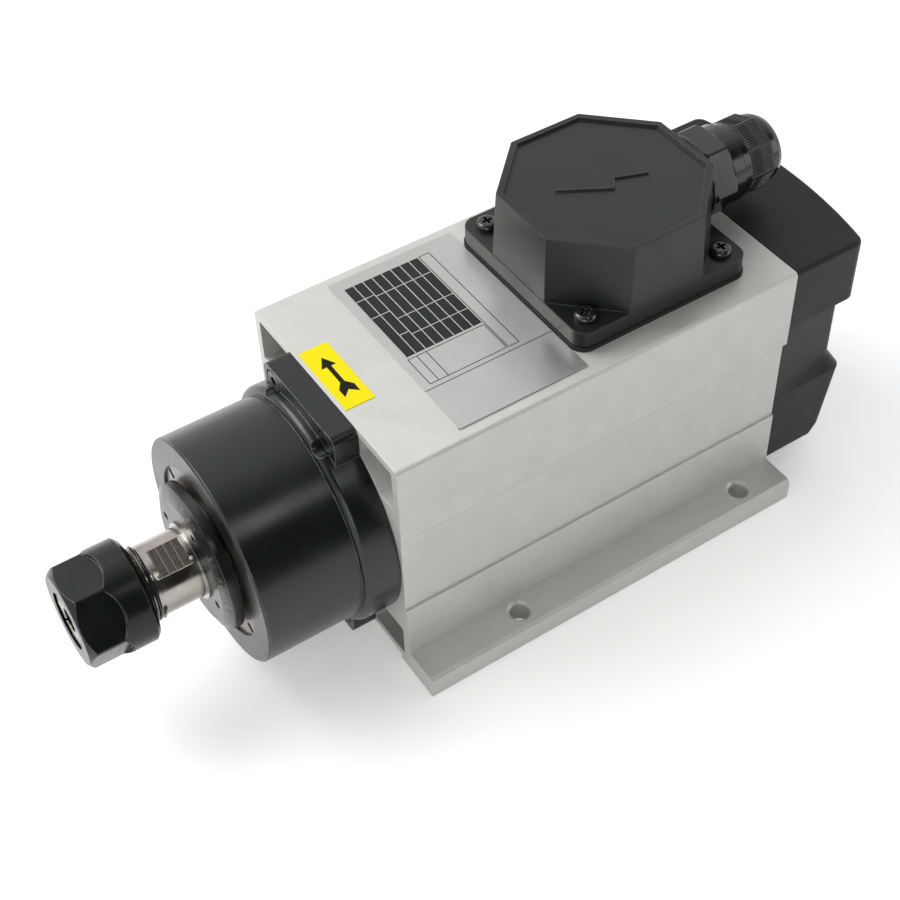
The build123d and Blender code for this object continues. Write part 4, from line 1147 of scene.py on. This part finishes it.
@dataclass
class Nose(SubAssembly):
    """The black front bracket, the ring and the labyrinth cap in its face."""

    def solids(self) -> Solids:
        """The bracket, its screws and the turned parts of its face."""
        return {
            "front_bracket": (Body.MOTOR, NOSE, 0.25),
            "front_bracket_screws": (Body.MOTOR, BLACK_STEEL, 0.15),
            "bearing_retaining_ring": (Body.MOTOR, RING_STEEL, 0.15),
            "dust_cap": (Body.SPINDLE, CAP_STEEL, 0.2),
        }


@dataclass
class ShaftEnd(SubAssembly):
    """The ground shaft with its cut thread, the collet and its nut."""

    crest: float = 12.4
    root: float = 11.72
    ridge: float = 0.68
    pitch: float = 1.5
    thread_front: float = -167.2
    thread_back: float = -149.3
    flat_angle: float = 71.0
    flat_height: float = 10.6
    flat_half_width: float = 4.7
    flat_ends: tuple[float, float] = (-147.35, -137.45)
    nut_flat_height: float = 14.98
    nut_flat_half_width: float = 8.0
    nut_flat_turn: float = 33.0
    nut_flat_ends: tuple[float, float] = (-177.0, -164.6)
    nut_flat_bulge: float = 2.7
    nut_pass_margin: float = 0.7
    run_in: float = 1.5
    run_out: float = 0.6
    root_band: float = 0.05
    flat_skin: tuple[float, float] = (-0.05, 0.02)

    def solids(self) -> Solids:
        """The collet keeps its own shape."""
        return {"collet": (Body.COLLET, GROUND, 0.1)}

    def flat_cutter(self, sides: int = 6, steps: int = 16, depth: float = 4.0) -> Piece:
        """Make the passes of a round cutter along the nut's flats, which run out in arcs on its collar.

        Args:
            sides: The number of flats.
            steps: The facets of each arc.
            depth: How far the passes stand out from the flats, in millimetres.

        Returns:
            All the passes, as one object.
        """
        front, back = self.nut_flat_ends
        half, bulge = self.nut_flat_half_width, self.nut_flat_bulge
        radius = (half * half + bulge * bulge) / (2 * bulge)
        sweep = math.asin(half / radius)
        angles = [sweep - 2 * sweep * i / steps for i in range(steps + 1)]
        arc = [(radius * math.sin(a), back + bulge - radius * (1 - math.cos(a))) for a in angles]
        side = half + self.nut_pass_margin
        outline = [(-side, front), (side, front), (side, back), *arc, (-side, back)]
        bm = bmesh.new()
        for number in range(sides):
            turn = math.radians(self.nut_flat_turn) + math.tau * number / sides
            normal = Vector((math.cos(turn), 0.0, math.sin(turn)))
            across = Vector((-math.sin(turn), 0.0, math.cos(turn)))
            centre = Vector((0.0, 0.0, AXIS_Z))
            prism(bm, *(
                [(centre + normal * height + across * s + Vector((0.0, y, 0.0))) * MM for s, y in outline]
                for height in (self.nut_flat_height, self.nut_flat_height + depth)
            ))
        return faired(bm, "nut_flat_passes", SLAB_SMOOTH)

    def details(self) -> None:
        """Mill the nut's flats, cut the shaft's thread, and lay the dull skin of its wrench flat."""
        nut = refined("collet_nut", self.frame, bevel=0.3, cutter=self.flat_cutter())
        dressed(nut, Body.NUT, NUT)
        shaft = refined("spindle_shaft", self.frame)
        self.turn_down(shaft)
        dressed(shaft, Body.SPINDLE, GROUND)
        ridge = grown(
            "shaft_thread", thread_tree(), CUT_THREAD, Crest=self.crest * MM, Ridge=self.ridge * MM,
            Pitch=self.pitch * MM, Length=(self.thread_back - self.thread_front) * MM,
            Start=self.thread_back * MM,
        )
        dressed(ridge, Body.SPINDLE, CUT_THREAD)
        front, back = self.flat_ends
        half = self.flat_half_width
        corners = [(-half, front), (half, front), (half, back), (-half, back)]
        skin = flat_shape("wrench_flat", corners, *(self.flat_height + depth for depth in self.flat_skin))
        turn = Matrix.Rotation(math.radians(90.0 - self.flat_angle), 4, "Y")
        skin.data.transform(Matrix.Translation((0.0, 0.0, AXIS_Z * MM)) @ turn)
        dressed(skin, Body.SPINDLE, MILLED)

    def turn_down(self, shaft: Piece) -> None:
        """Bring the shaft's threaded end down to the root of the thread.

        Args:
            shaft: The shaft, whose thread is a plain cylinder.
        """
        low, high = (self.thread_front - self.run_in) * MM, (self.thread_back + self.run_out) * MM
        for vertex in shaft.data.vertices:
            flat = Vector((vertex.co.x, vertex.co.z - AXIS_Z * MM))
            if low < vertex.co.y < high and flat.length > (self.root + self.root_band) * MM:
                flat *= self.root * MM / flat.length
                vertex.co.x, vertex.co.z = flat.x, flat.y + AXIS_Z * MM


@dataclass
class TerminalBox(SubAssembly):
    """The moulded lid on its gasket, and the terminals under it."""

    link_ends: tuple[tuple[float, float], tuple[float, float]] = ((4.7, -0.3), (0.7, 2.6))
    link_half_width: float = 0.35
    panel_height: float = 124.1
    centre_y: float = 19.1
    link_rise: float = 0.45
    link_sink: float = 0.1

    def solids(self) -> Solids:
        """All of the box keeps its own shape."""
        return {
            "box_gasket": (Body.MOTOR, RUBBER, 0.0),
            "terminal_box_lid": (Body.MOTOR, LID, 0.35),
            "box_screws": (Body.MOTOR, SCREW_BLACK, 0.1),
            "terminal_block": (Body.MOTOR, BLOCK, 0.2),
            "terminal_studs": (Body.MOTOR, BRASS, 0.0),
            "terminal_nuts": (Body.MOTOR, BRASS, 0.15),
            "motor_leads": (Body.MOTOR, LEAD, 0.0),
            "earth_screw": (Body.MOTOR, ZINC, 0.1),
        }

    def details(self) -> None:
        """Join the two raised bars of the lid's sign with a thin stroke."""
        start, end = (Vector((x, self.centre_y + y)) for x, y in self.link_ends)
        side = (end - start).orthogonal().normalized() * self.link_half_width
        corners = [tuple(point) for point in (start - side, start + side, end + side, end - side)]
        low, high = self.panel_height - self.link_sink, self.panel_height + self.link_rise
        stroke = flat_shape("lid_sign_stroke", corners, low, high)
        dressed(stroke, Body.MOTOR, LID)


@dataclass
class CableGland(SubAssembly):
    """The screwed cable gland behind the box, with a ribbed dome nut."""

    flats: int = 8
    across: float = 23.4
    ribs: int = 9
    rib_pitch: float = 0.92
    rib_radius: float = 0.26
    ring_end: float = 69.1
    facet_end: float = 78.5
    rib_margin: float = 0.3

    def solids(self) -> Solids:
        """The gland's own pieces."""
        return {
            "gland_washer": (Body.MOTOR, GLAND, 0.2),
            "gland_body": (Body.MOTOR, GLAND, 0.25),
            "gland_lock_nut": (Body.MOTOR, GLAND, 0.2),
            "gland_seal": (Body.SEAL, RUBBER, 0.0),
            "gland_nut": (Body.DOME_NUT, GLAND, 0.25),
        }

    def details(self) -> None:
        """Lay the grip ribs on the flats of the dome nut."""
        length = self.facet_end - self.ring_end - 2 * self.rib_margin
        ribs = grown(
            "dome_nut_ribs", ribbed_ring_tree(), GLAND, Flats=self.flats, Ribs=self.ribs,
            Pitch=self.rib_pitch * MM, Rib=self.rib_radius * MM, Across=self.across / 2 * MM,
            Length=length * MM, Turn=math.pi / self.flats, Station=(self.ring_end + self.facet_end) / 2 * MM,
        )
        dressed(ribs, Body.DOME_NUT, GLAND)


@dataclass
class FanEnd(SubAssembly):
    """The rear bracket, the fan and the moulded cover with its sunk grille."""

    def solids(self) -> Solids:
        """Everything behind the housing."""
        return {
            "rear_bracket": (Body.MOTOR, CAST, 0.3),
            "rear_bracket_screws": (Body.MOTOR, ZINC, 0.1),
            "rear_cover": (Body.MOTOR, COVER, 0.0),
            "cover_screws": (Body.MOTOR, SCREW_BLACK, 0.1),
            "cooling_fan": (Body.SPINDLE, COVER, 0.2),
            "fan_nut": (Body.SPINDLE, ZINC, 0.15),
        }


@dataclass(frozen=True)
class BallRing:
    """One row of bearing balls. Lengths are millimetres."""

    name: str
    node: str
    body: Body
    count: int
    circle: float
    ball: float
    station: float

    def build(self) -> None:
        """Set smooth balls in the place of the solids' balls."""
        balls = grown(
            self.name, ball_ring_tree(), BEARING, Count=self.count, Circle=self.circle * MM,
            Ball=self.ball * MM, Station=self.station * MM,
        )
        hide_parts(self.node)
        dressed(balls, self.body, BEARING)


@dataclass
class Motor(SubAssembly):
    """The electrical parts and the bearings, which the housing hides."""

    rings: tuple[BallRing, ...] = (
        BallRing("front_ball_ring_0", "front_balls", Body.FRONT_CAGES, 11, 19.25, 3.9, -115.5),
        BallRing("front_ball_ring_1", "front_balls", Body.FRONT_CAGES, 11, 19.25, 3.9, -98.5),
        BallRing("rear_ball_ring", "rear_balls", Body.REAR_CAGE, 10, 14.25, 3.0, 57.5),
    )

    def solids(self) -> Solids:
        """The solids whose own shape is right."""
        return {
            "front_outer_races": (Body.MOTOR, BEARING, 0.2),
            "front_inner_races": (Body.SPINDLE, BEARING, 0.2),
            "front_outer_spacer": (Body.MOTOR, BEARING, 0.0),
            "front_inner_spacer": (Body.SPINDLE, BEARING, 0.0),
            "rear_outer_race": (Body.MOTOR, BEARING, 0.2),
            "rear_inner_race": (Body.SPINDLE, BEARING, 0.2),
            "front_cages": (Body.FRONT_CAGES, CAGE, 0.0),
            "rear_cage": (Body.REAR_CAGE, CAGE, 0.0),
            "preload_springs": (Body.MOTOR, BLACK_STEEL, 0.0),
            "stator_core": (Body.MOTOR, CORE, 0.0),
            "stator_winding": (Body.MOTOR, WINDING, 0.0),
            "rotor_core": (Body.SPINDLE, CORE, 0.0),
            "rotor_end_rings": (Body.SPINDLE, CAST, 0.4),
        }

    def details(self) -> None:
        """Set the balls in the cages."""
        for ring in self.rings:
            ring.build()


@dataclass
class Plates(SubAssembly):
    """The rating plate with its blank ruled table, and the rotation label with its arrow."""

    plate_top: float = 94.0
    label_top: float = 93.7
    print_depth: float = 0.02
    print_rise: float = 0.02
    rule: float = 0.28
    row_step: float = -3.44
    rows: int = 9
    upper_rows: int = 6
    upper_columns: tuple[float, ...] = (-24.8, -12.25, -3.9)
    lower_columns: tuple[float, ...] = (-25.7, -16.6)
    short_column: float = -5.5
    table: Box = (-33.0, 4.0, -57.3, -29.6)
    title_box: Box = (-33.0, 17.5, -29.2, -25.3)
    side_box: Box = (5.1, 17.5, -57.3, -29.8)
    side_box_rows: tuple[float, ...] = (-50.8, -54.2)
    divider_x: float = 19.4
    plate_ends: tuple[float, float] = (-60.3, -14.5)
    arrow_middle: float = -78.1
    arrow_upper: tuple[tuple[float, float], ...] = (
        (-11.0, 0.0), (-6.4, 2.5), (-6.4, 0.75), (1.5, 0.75), (4.0, 2.6), (7.6, 2.6), (5.2, 0.0),
    )

    def solids(self) -> Solids:
        """The plate and the label."""
        return {
            "nameplate": (Body.MOTOR, PLATE, 0.0),
            "rotation_label": (Body.MOTOR, LABEL, 0.0),
        }

    def bar(self, name: str, box: Box, finish: Finish, layer: int = 0) -> None:
        """Print one plain rectangle on the rating plate.

        Args:
            name: The piece's name.
            box: Its low x, high x, low y and high y.
            finish: Its ink.
            layer: 0 on the plate, 1 over another print.
        """
        x0, x1, y0, y1 = box
        top = self.plate_top + self.print_rise * (1 + layer)
        corners = [(x0, y0), (x1, y0), (x1, y1), (x0, y1)]
        dressed(flat_shape(name, corners, self.plate_top - self.print_depth, top), Body.MOTOR, finish)

    def rules(self, name: str, box: Box, step: float, count: int, finish: Finish,
              layer: int = 0) -> None:
        """Print a run of equal lines across a box, from its far edge towards the nose.

        Args:
            name: The piece's name.
            box: The box that the lines cross, as for bar.
            step: From each line to the next along Y.
            count: The number of lines.
            finish: Their ink.
            layer: 0 on the plate, 1 over another print.
        """
        x0, x1, _, y1 = box
        height = self.plate_top + self.print_rise * (0.5 + layer)
        lines = grown(
            name, ruled_table_tree(), finish, Width=(x1 - x0) * MM, Line=self.rule * MM,
            Thickness=self.print_rise * MM, Step=step * MM, Count=count,
            First=(Vector(((x0 + x1) / 2, y1, height)) * MM)[:],
        )
        dressed(lines, Body.MOTOR, finish)

    def outline(self, name: str, box: Box, rows: Sequence[float] = ()) -> None:
        """Print the border of a box, and lines across it, in black.

        Args:
            name: The start of the pieces' names.
            box: The box, as for bar.
            rows: The places of the lines along Y.
        """
        x0, x1, y0, y1 = box
        half = self.rule / 2
        for i, x in enumerate((x0, x1)):
            self.bar(f"{name}_side_{i}", (x - half, x + half, y0, y1), INK)
        for i, y in enumerate((y0, y1, *rows)):
            self.bar(f"{name}_line_{i}", (x0, x1, y - half, y + half), INK)

    def details(self) -> None:
        """Print the table, the boxes, the divider and the arrow."""
        _, _, y0, y1 = self.table
        self.bar("table_ground", self.table, INK)
        self.rules("table_rows", self.table, self.row_step, self.rows, RULE, layer=1)
        half = self.rule / 2
        upper = y1 + self.upper_rows * self.row_step
        stops = [(x, upper, y1) for x in self.upper_columns] + [(x, y0, upper) for x in self.lower_columns]
        stops.append((self.short_column, upper + self.row_step, upper))
        for i, (x, low, high) in enumerate(stops):
            self.bar(f"table_column_{i}", (x - half, x + half, low, high), RULE, layer=1)
        self.outline("title_box", self.title_box)
        self.outline("side_box", self.side_box, self.side_box_rows)
        self.bar("plate_divider", (self.divider_x - half, self.divider_x + half, *self.plate_ends), INK)
        self.arrow()

    def arrow(self) -> None:
        """Print the plain arrow with a notched tail."""
        lower = [(x, -y) for x, y in reversed(self.arrow_upper[1:-1])]
        corners = [(x, self.arrow_middle + y) for x, y in (*self.arrow_upper, *lower)]
        low, high = self.label_top - self.print_depth, self.label_top + self.print_rise
        dressed(flat_shape("rotation_arrow", corners, low, high), Body.MOTOR, ARROW_INK)


def main() -> None:
    """Build the studio and dress every sub-assembly in order."""
    logging.basicConfig(level=logging.INFO, format="%(name)s %(message)s")
    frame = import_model()
    Studio().build()
    for part in (Housing, Nose, ShaftEnd, TerminalBox, CableGland, FanEnd, Motor, Plates):
        log.info("building %s", part.__name__)
        part(frame).build()


if __name__ == "__main__":
    main()
